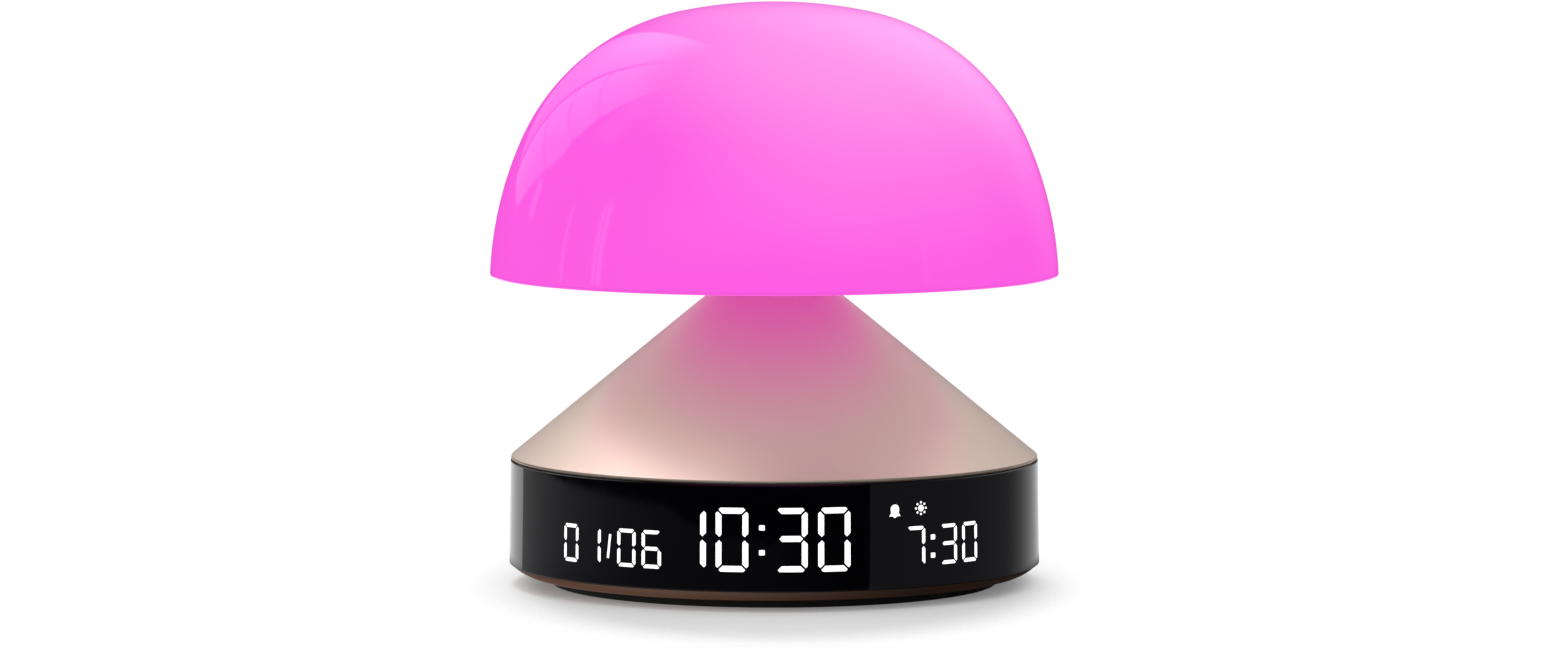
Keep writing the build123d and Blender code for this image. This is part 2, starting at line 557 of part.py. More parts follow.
# ---- Lamp tower ----
def make_lamp_tower():
    """The hollow column that carries the lamp, with a shoulder for spring and switch."""
    flange_top = DECK_TOP + TOWER_FLANGE
    tower = turned([(WIRE_BORE_R, DECK_TOP), (TOWER_FLANGE_R, DECK_TOP), (TOWER_FLANGE_R, flange_top),
                    (TOWER_COLUMN_R, flange_top), (TOWER_COLUMN_R, SHOULDER_LOW), (SHOULDER_R, SHOULDER_LOW),
                    (SHOULDER_R, SHOULDER_TOP), (TOWER_R, SHOULDER_TOP), (TOWER_R, TOWER_TOP),
                    (WIRE_BORE_R, TOWER_TOP)])
    corners = [(TOWER_COLUMN_R - CUT, flange_top), (GUSSET_REACH, flange_top),
               (TOWER_COLUMN_R - CUT, flange_top + GUSSET_RISE)]
    gusset = extrude(Plane.XZ * make_face(Polyline(*corners, close=True)), GUSSET_WALL / 2, both=True)
    for angle in GUSSET_ANGLES:
        tower += Rot(0, 0, angle) * gusset
    for place in around(TOWER_SCREW_RING_R, TOWER_SCREW_ANGLES):
        tower -= post(place, TOWER_SCREW_R + CLEARANCE, DECK_TOP - CUT, flange_top + CUT)
    for place in around(RETAINER_RING_R, RETAINER_ANGLES):
        tower -= post(place, RETAINER_R, RETAINER_END - CLEARANCE, TOWER_TOP + CUT)
    return tower


def make_head_spring():
    """A coil spring between the tower's shoulder and the sleeve's pocket."""
    low = SHOULDER_TOP + SPRING_WIRE_R + SPRING_END_GAP
    height = SPRING_POCKET_TOP - SPRING_WIRE_R - SPRING_END_GAP - low
    path = Pos(0, 0, low) * Helix(height / SPRING_TURNS, height, SPRING_R)
    section = Plane(origin=path @ 0, z_dir=path % 0) * Circle(SPRING_WIRE_R)
    return sweep(section, path)


def make_snooze_switch():
    """The push switch on the tower's shoulder."""
    length, width, height = SNOOZE_SWITCH
    place = (SNOOZE_SWITCH_X, 0)
    top = SHOULDER_TOP + height
    case = block((length, width), place, SHOULDER_TOP, top)
    return case + post(place, SNOOZE_PLUNGER_R, top, top + SNOOZE_PLUNGER)


# ---- Lamp head ----
def dome_arcs():
    """Centre, radius, first and last lean of the shade's side, shoulder and crown, which meet smoothly."""
    arcs = []
    radius, height, start = DOME_R, DOME_RIM, RIM_LEAN
    for size, end in ((SIDE_ARC, SIDE_LEAN), (SHOULDER_ARC, SHOULDER_LEAN)):
        lean = math.radians(start)
        centre = (radius - size * math.cos(lean), height - size * math.sin(lean))
        arcs.append((centre, size, start, end))
        lean = math.radians(end)
        radius, height, start = centre[0] + size * math.cos(lean), centre[1] + size * math.sin(lean), end
    crown = radius / math.cos(math.radians(start))
    arcs.append(((0, height - crown * math.sin(math.radians(start))), crown, start, 90))
    return arcs


def dome_body(inset):
    """The space inside the shade's outer face, drawn in by an inset."""
    arcs = Curve()
    for centre, size, start, end in dome_arcs():
        arcs += CenterArc(centre, size - inset, start, end - start)
    first, last = arcs.edges()[0] @ 0, arcs.edges()[-1] @ 1
    side = Polyline((last.X, last.Y), (0, first.Y), (first.X, first.Y))
    return revolve(make_face(Plane.XZ * (arcs + side)), Axis.Z)


def make_dome_shade():
    """The mushroom-shaped shade, with a ledge inside its rim for the diffuser."""
    inside = dome_body(DOME_WALL)
    mouth = inside.bounding_box().max.X
    shade = dome_body(0) - inside - disc(mouth, DOME_RIM - CUT, DOME_RIM)
    rims = [edge for edge in shade.edges() if abs(edge.bounding_box().max.Z - DOME_RIM) < CUT / 2]
    shade = fillet(rims, DOME_RIM_ROUND)
    ledge = disc(DOME_R, DIFFUSER_TOP, DIFFUSER_TOP + LEDGE_HEIGHT) & dome_body(DOME_WALL / 2)
    return shade + (ledge - disc(LEDGE_INNER_R, DIFFUSER_TOP - CUT, DIFFUSER_TOP + LEDGE_HEIGHT + CUT))


def make_underside_diffuser():
    """The flat ring that closes the shade from below."""
    return ring(SLEEVE_R + CLEARANCE, DIFFUSER_R, DIFFUSER_LOW, DIFFUSER_TOP)


def make_guide_sleeve():
    """The neck that slides on the tower, with a spring pocket and a leg for the switch."""
    bore = TOWER_R + SLEEVE_RUNNING_GAP
    top = DIFFUSER_TOP + SLEEVE_FLANGE
    sleeve = turned([(SPRING_POCKET_R, SLEEVE_LOW), (SLEEVE_R, SLEEVE_LOW), (SLEEVE_R, DIFFUSER_TOP),
                     (SLEEVE_FLANGE_R, DIFFUSER_TOP), (SLEEVE_FLANGE_R, top), (bore, top),
                     (bore, SPRING_POCKET_TOP), (SPRING_POCKET_R, SPRING_POCKET_TOP)])
    middle = (LEG_IN + LEG_OUT) / 2
    return sleeve + block((LEG_OUT - LEG_IN, LEG_WIDTH), (middle, 0), LEG_LOW, SLEEVE_LOW + CUT)


# ---- Lamp engine ----
def make_led_heat_spreader():
    """The plate between the tower and the lamp board."""
    spreader = ring(WIRE_BORE_R, SPREADER_R, TOWER_TOP, TOWER_TOP + SPREADER)
    for place in around(RETAINER_RING_R, RETAINER_ANGLES):
        spreader -= post(place, RETAINER_R + CLEARANCE, TOWER_TOP - CUT, TOWER_TOP + SPREADER + CUT)
    return spreader


def make_led_board():
    """The round board of the lamp."""
    low = TOWER_TOP + SPREADER
    return ring(LED_BOARD_HOLE_R, LED_BOARD_R, low, low + LED_BOARD)


def make_led_emitters():
    """Two rings of square lamps."""
    low = TOWER_TOP + SPREADER + LED_BOARD
    emitters = []
    for radius, count in LED_RINGS:
        emitter = block((LED_SIDE, LED_SIDE), (radius, 0), low, low + LED_HEIGHT)
        emitters += [Rot(0, 0, 360 * number / count) * emitter for number in range(count)]
    return group(emitters)


def make_lamp_wires():
    """Wires from the main board up through the tower and over to the lamp board."""
    pad = TOWER_TOP + SPREADER + LED_BOARD + CLEARANCE
    start = BOARD_TOP + LAMP_CONNECTOR[2]
    route = [(WIRE_RING_R, start), (WIRE_RING_R, WIRE_CREST), (WIRE_PAD_R, WIRE_CREST), (WIRE_PAD_R, pad)]
    path = Plane.XZ * FilletPolyline(*route, radius=WIRE_BEND)
    section = Plane(origin=path @ 0, z_dir=path % 0) * Circle(WIRE_R)
    wire = sweep(section, path)
    return group([Rot(0, 0, angle) * wire for angle in WIRE_ANGLES])


# ---- Main board and what is on it ----
def make_main_board():
    """The main circuit board, with a tongue under the power socket."""
    board = disc(BOARD_R, BOARD_LOW, BOARD_TOP)
    board += block((BOARD_TONGUE, BOARD_TONGUE_END), (0, BOARD_TONGUE_END / 2), BOARD_LOW, BOARD_TOP)
    for place in around(PILLAR_RING_R, PILLAR_ANGLES):
        board -= post(place, BOARD_PILLAR_HOLE_R, BOARD_LOW - CUT, BOARD_TOP + CUT)
    for place in around(BOARD_POST_RING_R, BOARD_POST_ANGLES):
        board -= post(place, BOARD_SCREW_WAY_R, BOARD_LOW - CUT, BOARD_TOP + CUT)
    return board


def on_board(blocks):
    """Blocks that stand on the main board."""
    made = []
    for length, width, height, x, y in blocks:
        made.append(block((length, width), (x, y), BOARD_TOP, BOARD_TOP + height))
    return group(made)


def make_board_connectors():
    """The main board's sockets, and the ribbon's socket on the back of the display board."""
    width, depth, height = DISPLAY_SOCKET
    middle = -DISPLAY_BOARD_R + DISPLAY_SOCKET_GAP + depth / 2
    socket = block((width, depth), (0, middle), RIBBON_HIGH - height / 2, RIBBON_HIGH + height / 2)
    sockets = on_board([LAMP_CONNECTOR, SPEAKER_CONNECTOR, RIBBON_CONNECTOR, SWITCH_CONNECTOR])
    return group([sockets, socket])


def make_board_capacitors():
    """Round cans that stand on the main board."""
    cans = []
    for radius, height, x, y in CAPACITORS:
        cans.append(post((x, y), radius, BOARD_TOP, BOARD_TOP + height))
    return group(cans)


def make_clock_crystal():
    """The quartz crystal's can, lying on the main board."""
    x, y = CRYSTAL_PLACE
    return Pos(x, y, BOARD_TOP + CRYSTAL_R) * Rot(0, 90, 0) * Cylinder(CRYSTAL_R, CRYSTAL_LENGTH)


def make_cell_holder():
    """The round tray of the backup cell."""
    low = BOARD_TOP + HOLDER_FLOOR
    top = low + CELL + HOLDER_LIP
    holder = post(CELL_PLACE, HOLDER_R, BOARD_TOP, top)
    holder -= post(CELL_PLACE, CELL_R + CLEARANCE, low, top + CUT)
    return holder


def make_backup_cell():
    """The coin cell that keeps the time."""
    low = BOARD_TOP + HOLDER_FLOOR
    return post(CELL_PLACE, CELL_R, low, low + CELL)


def make_cell_contact():
    """A spring strip over the cell, hooked on the holder's rim."""
    top = BOARD_TOP + HOLDER_FLOOR + CELL + HOLDER_LIP
    strip = block((2 * HOLDER_R, CONTACT_WIDTH), CELL_PLACE, top, top + CONTACT_WALL)
    finger = block((CONTACT_WIDTH, CONTACT_WIDTH), CELL_PLACE, top - HOLDER_LIP, top)
    return strip + finger


# ---- Speaker ----
def make_speaker_box():
    """The open box behind the speaker, on two legs."""
    low = SPEAKER_CENTRE - SPEAKER_HEIGHT / 2
    depth = SPEAKER_PLATE - SPEAKER_BACK
    outside = block((SPEAKER_WIDTH, depth), (0, SPEAKER_BACK + depth / 2), low, low + SPEAKER_HEIGHT)
    wall = SPEAKER_BOX_WALL
    inside = block((SPEAKER_WIDTH - 2 * wall, depth), (0, SPEAKER_BACK + wall + depth / 2),
                   low + wall, low + SPEAKER_HEIGHT - wall)
    box = outside - inside
    for side in (-1, 1):
        leg_y = SPEAKER_BACK + SPEAKER_LEG[1] / 2
        box += block(SPEAKER_LEG, (side * SPEAKER_LEG_X, leg_y), BOARD_TOP, low + wall / 2)
    return box


def make_speaker_frame():
    """A flat plate in front of the speaker box, with a cup round the magnet."""
    centre = Pos(0, SPEAKER_CENTRE)
    inner_height = SPEAKER_HEIGHT - 2 * SPEAKER_BOX_WALL - CLEARANCE
    flats = centre * Rectangle(SPEAKER_WIDTH, inner_height)
    frame = rearward(centre * Rectangle(SPEAKER_WIDTH, SPEAKER_HEIGHT), SPEAKER_PLATE, SPEAKER_FRONT)
    frame += rearward(centre * Circle(SPEAKER_CUP_R) & flats, CUP_BACK, SPEAKER_PLATE + CUT)
    frame -= rearward(centre * Circle(MAGNET_R), CUP_BACK - CUT, SPEAKER_PLATE)
    return frame - rearward(slot_face(SPEAKER_HOLE, SPEAKER_CENTRE), SPEAKER_PLATE - CUT, SPEAKER_FRONT + CUT)


def make_speaker_magnet():
    """The magnet, with the voice coil in front of it."""
    magnet = rearward(Pos(0, SPEAKER_CENTRE) * Circle(MAGNET_R), MAGNET_BACK, MAGNET_FRONT)
    return magnet + rearward(Pos(0, SPEAKER_CENTRE) * Circle(VOICE_COIL_R), MAGNET_FRONT, COIL_FRONT)


def make_speaker_diaphragm():
    """The speaker's sheet, with a dust cap."""
    front = DIAPHRAGM_BACK + DIAPHRAGM
    sheet = rearward(slot_face(SPEAKER_HOLE, SPEAKER_CENTRE), DIAPHRAGM_BACK, front)
    cap = rearward(Pos(0, SPEAKER_CENTRE) * Circle(DUST_CAP_R), front, front + DUST_CAP)
    return sheet + chamfer(cap.edges().sort_by(Axis.Y)[-1], DUST_CAP / 2)


def make_speaker_wires():
    """Two wires from the back of the speaker box down to their socket on the main board."""
    height, socket_x, socket_y = SPEAKER_CONNECTOR[2:]
    end = BOARD_TOP + height
    wires = []
    for side in (-1, 1):
        x = socket_x + side * SPEAKER_WIRE_X
        route = [(x, SPEAKER_BACK, SPEAKER_WIRE_Z), (x, socket_y, SPEAKER_WIRE_Z), (x, socket_y, end)]
        path = FilletPolyline(*route, radius=SPEAKER_WIRE_BEND)
        section = Plane(origin=path @ 0, z_dir=path % 0) * Circle(SPEAKER_WIRE_R)
        wires.append(sweep(section, path))
    return group(wires)


# ---- Power socket ----
def make_usb_c_shell():
    """The metal shell of the power socket."""
    shell = rearward(slot_face((SOCKET_WIDTH, SOCKET_HEIGHT), SOCKET_Z), SOCKET_BACK, SOCKET_FRONT)
    hollow = (SOCKET_WIDTH - 2 * SOCKET_WALL, SOCKET_HEIGHT - 2 * SOCKET_WALL)
    return shell - rearward(slot_face(hollow, SOCKET_Z), SOCKET_BACK + SOCKET_WALL, SOCKET_FRONT + CUT)


def make_usb_c_tongue():
    """The contact tongue inside the power socket."""
    return rearward(Pos(0, SOCKET_Z) * Rectangle(*TONGUE), SOCKET_BACK + SOCKET_WALL, TONGUE_FRONT)


# ---- Rear buttons ----
def make_button(angle):
    """A round cap with an inner flange that keeps it in the band, and a stem for its switch."""
    back = BUTTON_FLANGE_BACK
    cap = from_rear(angle, back, BUTTON_FACE - back, Circle(BUTTON_R))
    outward = Vector(*polar(1, REAR + angle), 0)
    rim = max(cap.edges(), key=lambda edge: edge.center().dot(outward))
    cap = fillet(rim, BUTTON_EDGE)
    cap += from_rear(angle, back, BUTTON_FLANGE_FACE - back, Circle(BUTTON_FLANGE_R))
    return cap + from_rear(angle, BUTTON_STEM_END, back - BUTTON_STEM_END + CUT / 2, Circle(BUTTON_STEM_R))


def make_rear_switches():
    """A push switch behind each rear button."""
    switches = []
    for angle in BUTTONS.values():
        case = from_rear(angle, SWITCH_BACK, SWITCH_FACE - SWITCH_BACK, Rectangle(SWITCH_SIDE, SWITCH_SIDE))
        travel = SWITCH_PLUNGER_END - SWITCH_FACE
        switches.append(case + from_rear(angle, SWITCH_FACE, travel, Circle(SWITCH_PLUNGER_R)))
    return group(switches)


def make_rear_switch_boards():
    """Two curved boards behind the buttons, standing on the main board."""
    strip = ring(SWITCH_BACK - SWITCH_BOARD_WALL, SWITCH_BACK, BOARD_TOP, SWITCH_BOARD_TOP)
    boards = []
    for side in (-1, 1):
        first, last = (REAR + side * angle for angle in SWITCH_BOARD_ANGLES)
        boards.append(strip & sector(first, last, BOARD_TOP, SWITCH_BOARD_TOP))
    return group(boards)


# ---- Screws ----
def make_base_screws():
    """Screws up through the base pan into the deck's pillars."""
    places = around(PILLAR_RING_R, PILLAR_ANGLES)
    shank_r = PILLAR_BORE - CLEARANCE
    return screws(places, BASE_SCREW_HEAD_R, BASE_SCREW_HEAD, BASE_SCREW_SEAT, shank_r, BASE_SCREW_END)


def make_board_screws():
    """Screws that hold the main board on the base pan."""
    places = around(BOARD_POST_RING_R, BOARD_POST_ANGLES)
    shank_r = BOARD_SCREW_R - CLEARANCE
    return screws(places, BOARD_SCREW_HEAD_R, BOARD_SCREW_HEAD, BOARD_TOP, shank_r, BOARD_SCREW_END)


def make_cone_screws():
    """Screws up through the deck into the cone's posts."""
    places = around(CONE_POST_RING_R, CONE_POST_ANGLES)
    shank_r = CONE_POST_BORE - CLEARANCE
    return screws(places, CONE_SCREW_HEAD_R, CONE_SCREW_HEAD, DECK_LOW, shank_r, CONE_SCREW_END)


def make_tower_screws():
    """Screws down through the tower's flange into the deck."""
    places = around(TOWER_SCREW_RING_R, TOWER_SCREW_ANGLES)
    seat = DECK_TOP + TOWER_FLANGE
    shank_r = TOWER_SCREW_R - CLEARANCE
    return screws(places, TOWER_SCREW_HEAD_R, TOWER_SCREW_HEAD, seat, shank_r, TOWER_SCREW_END)


def make_retainer_screws():
    """Screws that hold the heat spreader on the tower."""
    places = around(RETAINER_RING_R, RETAINER_ANGLES)
    seat = TOWER_TOP + SPREADER
    return screws(places, RETAINER_HEAD_R, RETAINER_HEAD, seat, RETAINER_R - CLEARANCE, RETAINER_END)


def make_parts():
    """Every sub-part by its name."""
    window_signs = display_signs()
    signs = [sign for row in window_signs.values() for sign in row]
    parts = {
        "foot_ring": make_foot_ring(),
        "base_pan": make_base_pan(),
        "display_band": make_display_band(signs),
        "light_mask": make_light_mask(signs),
        "display_board": make_display_board(),
        "display_leds": make_display_leds(signs),
        "display_ribbon": make_display_ribbon(),
        "inner_deck": make_inner_deck(),
        "cone_shell": make_cone_shell(),
        "lamp_tower": make_lamp_tower(),
        "head_spring": make_head_spring(),
        "snooze_switch": make_snooze_switch(),
        "dome_shade": make_dome_shade(),
        "underside_diffuser": make_underside_diffuser(),
        "guide_sleeve": make_guide_sleeve(),
        "led_heat_spreader": make_led_heat_spreader(),
        "led_board": make_led_board(),
        "led_emitters": make_led_emitters(),
        "lamp_wires": make_lamp_wires(),
        "main_board": make_main_board(),
        "microcontroller": on_board([MICROCONTROLLER]),
        "control_chips": on_board(CONTROL_CHIPS),
        "board_connectors": make_board_connectors(),
        "board_capacitors": make_board_capacitors(),
        "clock_crystal": make_clock_crystal(),
        "cell_holder": make_cell_holder(),
        "backup_cell": make_backup_cell(),
        "cell_contact": make_cell_contact(),
        "speaker_box": make_speaker_box(),
        "speaker_frame": make_speaker_frame(),
        "speaker_magnet": make_speaker_magnet(),
        "speaker_diaphragm": make_speaker_diaphragm(),
        "speaker_wires": make_speaker_wires(),
        "usb_c_shell": make_usb_c_shell(),
        "usb_c_tongue": make_usb_c_tongue(),
        "rear_switches": make_rear_switches(),
        "rear_switch_boards": make_rear_switch_boards(),
        "base_screws": make_base_screws(),
        "board_screws": make_board_screws(),
        "cone_screws": make_cone_screws(),
        "tower_screws": make_tower_screws(),
        "retainer_screws": make_retainer_screws(),
    }
    for name, row in window_signs.items():
        parts[name] = make_inlay(row)
    for name, angle in BUTTONS.items():
        parts[name] = make_button(angle)
    return parts


os.makedirs("parts", exist_ok=True)
for part_name, part in make_parts().items():
    export_step(part, f"parts/{part_name}.step")
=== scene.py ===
import json
import math

import bmesh
import bpy
from bpy.props import FloatProperty, FloatVectorProperty, IntProperty, PointerProperty
from mathutils import Matrix, Vector


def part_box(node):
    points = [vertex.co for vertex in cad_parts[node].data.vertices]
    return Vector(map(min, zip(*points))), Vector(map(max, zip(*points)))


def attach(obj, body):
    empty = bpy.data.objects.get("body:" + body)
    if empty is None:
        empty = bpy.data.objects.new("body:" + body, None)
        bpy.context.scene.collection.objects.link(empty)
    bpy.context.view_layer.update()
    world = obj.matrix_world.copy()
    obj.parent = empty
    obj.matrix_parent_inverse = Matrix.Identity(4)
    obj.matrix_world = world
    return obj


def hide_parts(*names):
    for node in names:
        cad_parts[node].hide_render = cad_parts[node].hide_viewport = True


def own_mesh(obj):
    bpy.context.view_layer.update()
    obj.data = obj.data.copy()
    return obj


bl_info = {
    "name": "Sunrise alarm clock",
    "version": (1, 0, 0),
    "blender": (4, 5, 0),
    "location": "3D View > Sidebar > Sunrise clock",
    "description": "Dresses the frame of a sunrise alarm clock with its finished pieces, materials and stage",
    "category": "Object",
}

# Metres. The clock stands on z = 0 with its axis on Z, and its display faces -Y.
# Angles round the axis are degrees from the front, positive towards a viewer's right.
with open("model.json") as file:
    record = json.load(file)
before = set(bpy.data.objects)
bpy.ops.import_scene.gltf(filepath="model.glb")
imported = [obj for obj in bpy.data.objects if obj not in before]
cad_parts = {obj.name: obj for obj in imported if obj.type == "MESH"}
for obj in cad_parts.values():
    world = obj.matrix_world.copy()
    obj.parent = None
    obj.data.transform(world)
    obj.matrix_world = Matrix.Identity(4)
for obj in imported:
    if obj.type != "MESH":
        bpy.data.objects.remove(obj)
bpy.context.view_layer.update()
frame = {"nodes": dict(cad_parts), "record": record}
MM = 0.001
ON_AXIS = 1e-7
REAR = 180.0
TURN_STEPS = 192          # facets round the large turned pieces
SMALL_TURN_STEPS = 48     # facets round the buttons and posts
ROUND_STEPS = 6           # facets in a rounded corner
SIGN_ROUND_STEPS = 4      # the same, in a figure or a symbol
CROWN_STEPS, CLAPPER_STEPS, RAY_STEPS, DISC_STEPS, RING_STEPS = 16, 10, 12, 24, 16   # round signs
SMOOTH_ANGLE = math.radians(32)

# ---- Shade ----
DOME_R, DOME_RIM = 75.03 * MM, 81.5 * MM
DOME_WALL, DOME_RIM_ROUND = 2.2 * MM, 0.6 * MM
SIDE_ARC, SHOULDER_ARC = 97.2 * MM, 59.1 * MM
RIM_LEAN, SIDE_LEAN, SHOULDER_LEAN = 2.29, 24.05, 78.8
DOME_ARC_STEPS = (22, 34, 8)
RIM_LINE_RISE, RIM_LINE_WIDTH, RIM_LINE_SHADE = 0.65 * MM, 0.18 * MM, 0.8   # the fine line over the rim
# A painted highlight on the shade, standing in for soft light from above on the right: the way it faces, and
# the reach of the patch as cosines.
PAINTED_LIGHT_WAY, PAINTED_LIGHT_REACH = (0.292, -0.442, 0.848), (0.5416, 1.2631)
LEDGE_INNER_R, LEDGE_HEIGHT, LEDGE_EDGE = 71.0 * MM, 1.6 * MM, 0.2 * MM
UNDERSIDE_HOLE_R = 12.92 * MM
UNDERSIDE_EDGE = 0.3 * MM
UNDERSIDE_GROOVES = (16.5 * MM, 69.5 * MM)
GROOVE_WIDTH, GROOVE_DEPTH = 0.8 * MM, 0.35 * MM
# A groove's section, across and up, in shares of its width and depth, and its rounding in depths.
GROOVE_SECTION, GROOVE_ROUND = ((-0.5, 0), (-0.3, 1), (0.3, 1), (0.5, 0)), 0.2
UNDERSIDE_BLEND = (12.0 * MM, 74.0 * MM)

# ---- Cone ----
CONE_LIP_R, CONE_LIP_LOW, CONE_LIP_ROUND = 69.62 * MM, 33.15 * MM, 0.3 * MM
CONE_FOOT_R, CONE_FOOT_TOP = 69.45 * MM, 33.9 * MM
CONE_TOP_R, CONE_TOP, CONE_TOP_EDGE = 16.4 * MM, 77.4 * MM, 0.5 * MM
CONE_WALL, CONE_OPENING_R = 1.6 * MM, 14.2 * MM
CONE_RING_INNER_R, CONE_RING_OUTER_R, CONE_RING_LOW = 66.2 * MM, 68.4 * MM, 32.7 * MM
CONE_POST_RING_R, CONE_POST_R, CONE_POST_BORE_R = 58.0 * MM, 3.2 * MM, 1.15 * MM
CONE_POST_ANGLES = (0, 120, 240)
CONE_POST_BORE_TOP = 40.2 * MM
CONE_POST_SINK = CONE_WALL / 4   # how far a post runs into the cone's wall

# ---- Foot ----
FOOT_INNER_R, FOOT_OUTER_R, FOOT_TOP, FOOT_EDGE = 50.0 * MM, 58.9 * MM, 3.4 * MM, 0.4 * MM
FOOT_GROOVE_WIDTH, FOOT_GROOVE_DEPTH = 0.9 * MM, 0.5 * MM

# ---- Display band and its figures: width, height and stroke of a figure ----
BAND_LOW, BAND_HIGH = 5.4 * MM, 32.7 * MM
BAND_LOW_R, BAND_HIGH_R = 70.1 * MM, 69.68 * MM
WINDOW_SINK = 0.45 * MM   # depth of the figures' windows in the band
WINDOW_SLICE = 0.8 * MM   # width of the flat facets that follow the band's curve
TIME_FIGURE = (8.42 * MM, 16.4 * MM, 1.49 * MM)
DATE_FIGURE = (5.6 * MM, 9.75 * MM, 0.93 * MM)
ALARM_FIGURE = (5.6 * MM, 10.28 * MM, 0.90 * MM)
TIME_HEIGHT, DATE_HEIGHT, ALARM_HEIGHT = 18.7 * MM, 15.5 * MM, 16.0 * MM
TIME_CENTRE = -2.6
TIME_CELLS = (("1", TIME_CENTRE - 15.35), ("0", TIME_CENTRE - 6.32),
              ("3", TIME_CENTRE + 6.13), ("0", TIME_CENTRE + 15.3))
DATE_CELLS = (("0", -48.6), ("1", -42.0), ("0", -32.9), ("6", -26.8))
ALARM_CELLS = (("7", 31.35), ("3", 39.95), ("0", 46.15))
LIT = {"0": "abcdef", "1": "bc", "3": "abcdg", "6": "acdefg", "7": "abc"}
# Shape of a segment, in strokes: how far its tips stand in from the outer edge, its gaps and its corners.
TIP, SIDE_GAP, END_GAP, MIDDLE_GAP, WAIST, CORNER = 0.34, 0.16, 0.30, 0.54, 0.6, 0.11
MIDDLE_RISE = 0.018       # of the figure's height, by which the middle bar stands above the centre
TIME_DOT, TIME_DOT_HEIGHTS = (1.5 * MM, 1.35 * MM), (15.48 * MM, 21.85 * MM)
ALARM_COLON, ALARM_DOT, ALARM_DOT_HEIGHTS = 35.65, (1.4 * MM, 1.3 * MM), (13.4 * MM, 18.1 * MM)
DOT_CORNER = 0.3 * MM
SLASH_ANGLE, SLASH_HEIGHT, SLASH_SIZE, SLASH_TILT = -37.4, 15.6 * MM, (0.72 * MM, 6.2 * MM), 6.7
SLASH_CORNER = 0.15 * MM
BELL_ANGLE, BELL_HEIGHT, BELL_R, BELL_WAIST_R = 26.25, 25.35 * MM, 1.22 * MM, 1.1 * MM
BELL_SKIRT, BELL_CLAPPER_R = 3.3 * MM, 0.5 * MM
# Heights on the bell from its middle: of its crown's centre, its waist, its rim and its clapper.
CROWN_RISE, WAIST_RISE, RIM_RISE, CLAPPER_RISE = 0.5 * MM, -0.55 * MM, -1.3 * MM, -1.2 * MM
SUN_ANGLE, SUN_HEIGHT, SUN_R, RAY_R, RAY_RING_R, RAYS = 32.6, 25.75 * MM, 0.85 * MM, 0.3 * MM, 1.5 * MM, 8

# ---- Rear buttons: a cap's outline from the stem's end outward, and its symbol ----
BUTTONS = {"light_button": -48, "dimmer_button": -36, "sound_button": -24,
           "volume_button": 24, "alarm_button": 36, "clock_button": 48}
BUTTON_Z, BUTTON_R, BUTTON_EDGE = 19.0 * MM, 4.0 * MM, 0.5 * MM
BUTTON_FACE, BUTTON_FLANGE_BACK, BUTTON_FLANGE_FACE = 70.7 * MM, 66.0 * MM, 66.9 * MM
BUTTON_FLANGE_R, BUTTON_STEM_R, BUTTON_STEM_END = 5.0 * MM, 1.5 * MM, 63.2 * MM
SMALL_EDGE = 0.15 * MM
DISH_RIM_R, DISH_FLOOR_R, DISH_ROUND = 3.45 * MM, 2.7 * MM, 0.6 * MM
# The symbols, in shares of their height. Radius of the sun's disc, of its rays and of their ring:
SYMBOL_SUN = (0.24, 0.055, 0.42)
# Inner and outer radius of the half-lit disc and of the clock's rim:
HALF_DISC, CLOCK_RIM = (0.15, 0.2), (0.36, 0.45)
# Centre, size, corner and tilt of each bar:
NOTE_BARS = (((-0.12, -0.3), (0.34, 0.25), 0.12, 20), ((0.03, 0.08), (0.085, 0.76), 0.02, 0),
             ((0.16, 0.3), (0.3, 0.1), 0.04, -32))
VOLUME_BARS = (((0, 0.24), (0.42, 0.085), 0.02, 0), ((0, 0.385), (0.085, 0.16), 0.02, 0),
               ((0, 0.095), (0.085, 0.16), 0.02, 0), ((0, -0.3), (0.42, 0.085), 0.02, 0))
CLOCK_HANDS = (((0, 0.11), (0.085, 0.28), 0.02, 0), ((0.1, -0.03), (0.26, 0.085), 0.02, 0))

# ---- Power socket's contacts ----
CONTACTS, CONTACT_PITCH, CONTACT_SIZE = 12, 0.5 * MM, (0.25 * MM, 3.4 * MM, 0.05 * MM)
CONTACT_SETBACK, CONTACT_EDGE = 0.35 * MM, 0.015 * MM

# ---- Return spring ----
SPRING_R, SPRING_WIRE_R, SPRING_END_GAP = 8.1 * MM, 0.45 * MM, 0.1 * MM
SPRING_TURNS, SPRING_DEAD_TURNS, SPRING_DEAD_PITCH = 5.0, 1.0, 1.0 * MM
SPRING_SEAT, SPRING_POCKET_TOP = 56.0 * MM, 72.0 * MM
SPRING_TURN_STEPS, SPRING_WIRE_STEPS = 40, 12

# ---- Camera ----
SENSOR_WIDTH = 36.0       # millimetres

# ---- Studio, in degrees: azimuth from straight behind the clock, negative to the left, and elevation ----
ZENITH = 90.0
# The window leans, so its upright lines are straight in azimuth + WINDOW_LEAN * elevation.
WINDOW_LEAN = 0.3
# Each pane: first and last side, the share of light at its foot, and its full brightness.
WINDOW_PANES = ((-57.3, -27.7, 0.42, 1.08), (-26.1, -6.0, 0.25, 0.95))
# Elevations of its foot, of full brightness, of where it starts to fade and of its end, and its soft edge.
WINDOW_FOOT, WINDOW_FULL, WINDOW_FADE, WINDOW_TOP, WINDOW_EDGE = 6.0, 42.0, 44.0, 64.0, 0.4
SILL_START, SILL_SLOPE = -22.3, 0.675   # the slanted sill: elevation at azimuth 0, and its rise to the left
# The first pane's transoms: their elevations, half their width, and the light that they take.
TRANSOMS, TRANSOM_HALF, TRANSOM_SHADE = (16.0, 25.6, 36.6), 0.5, 0.35
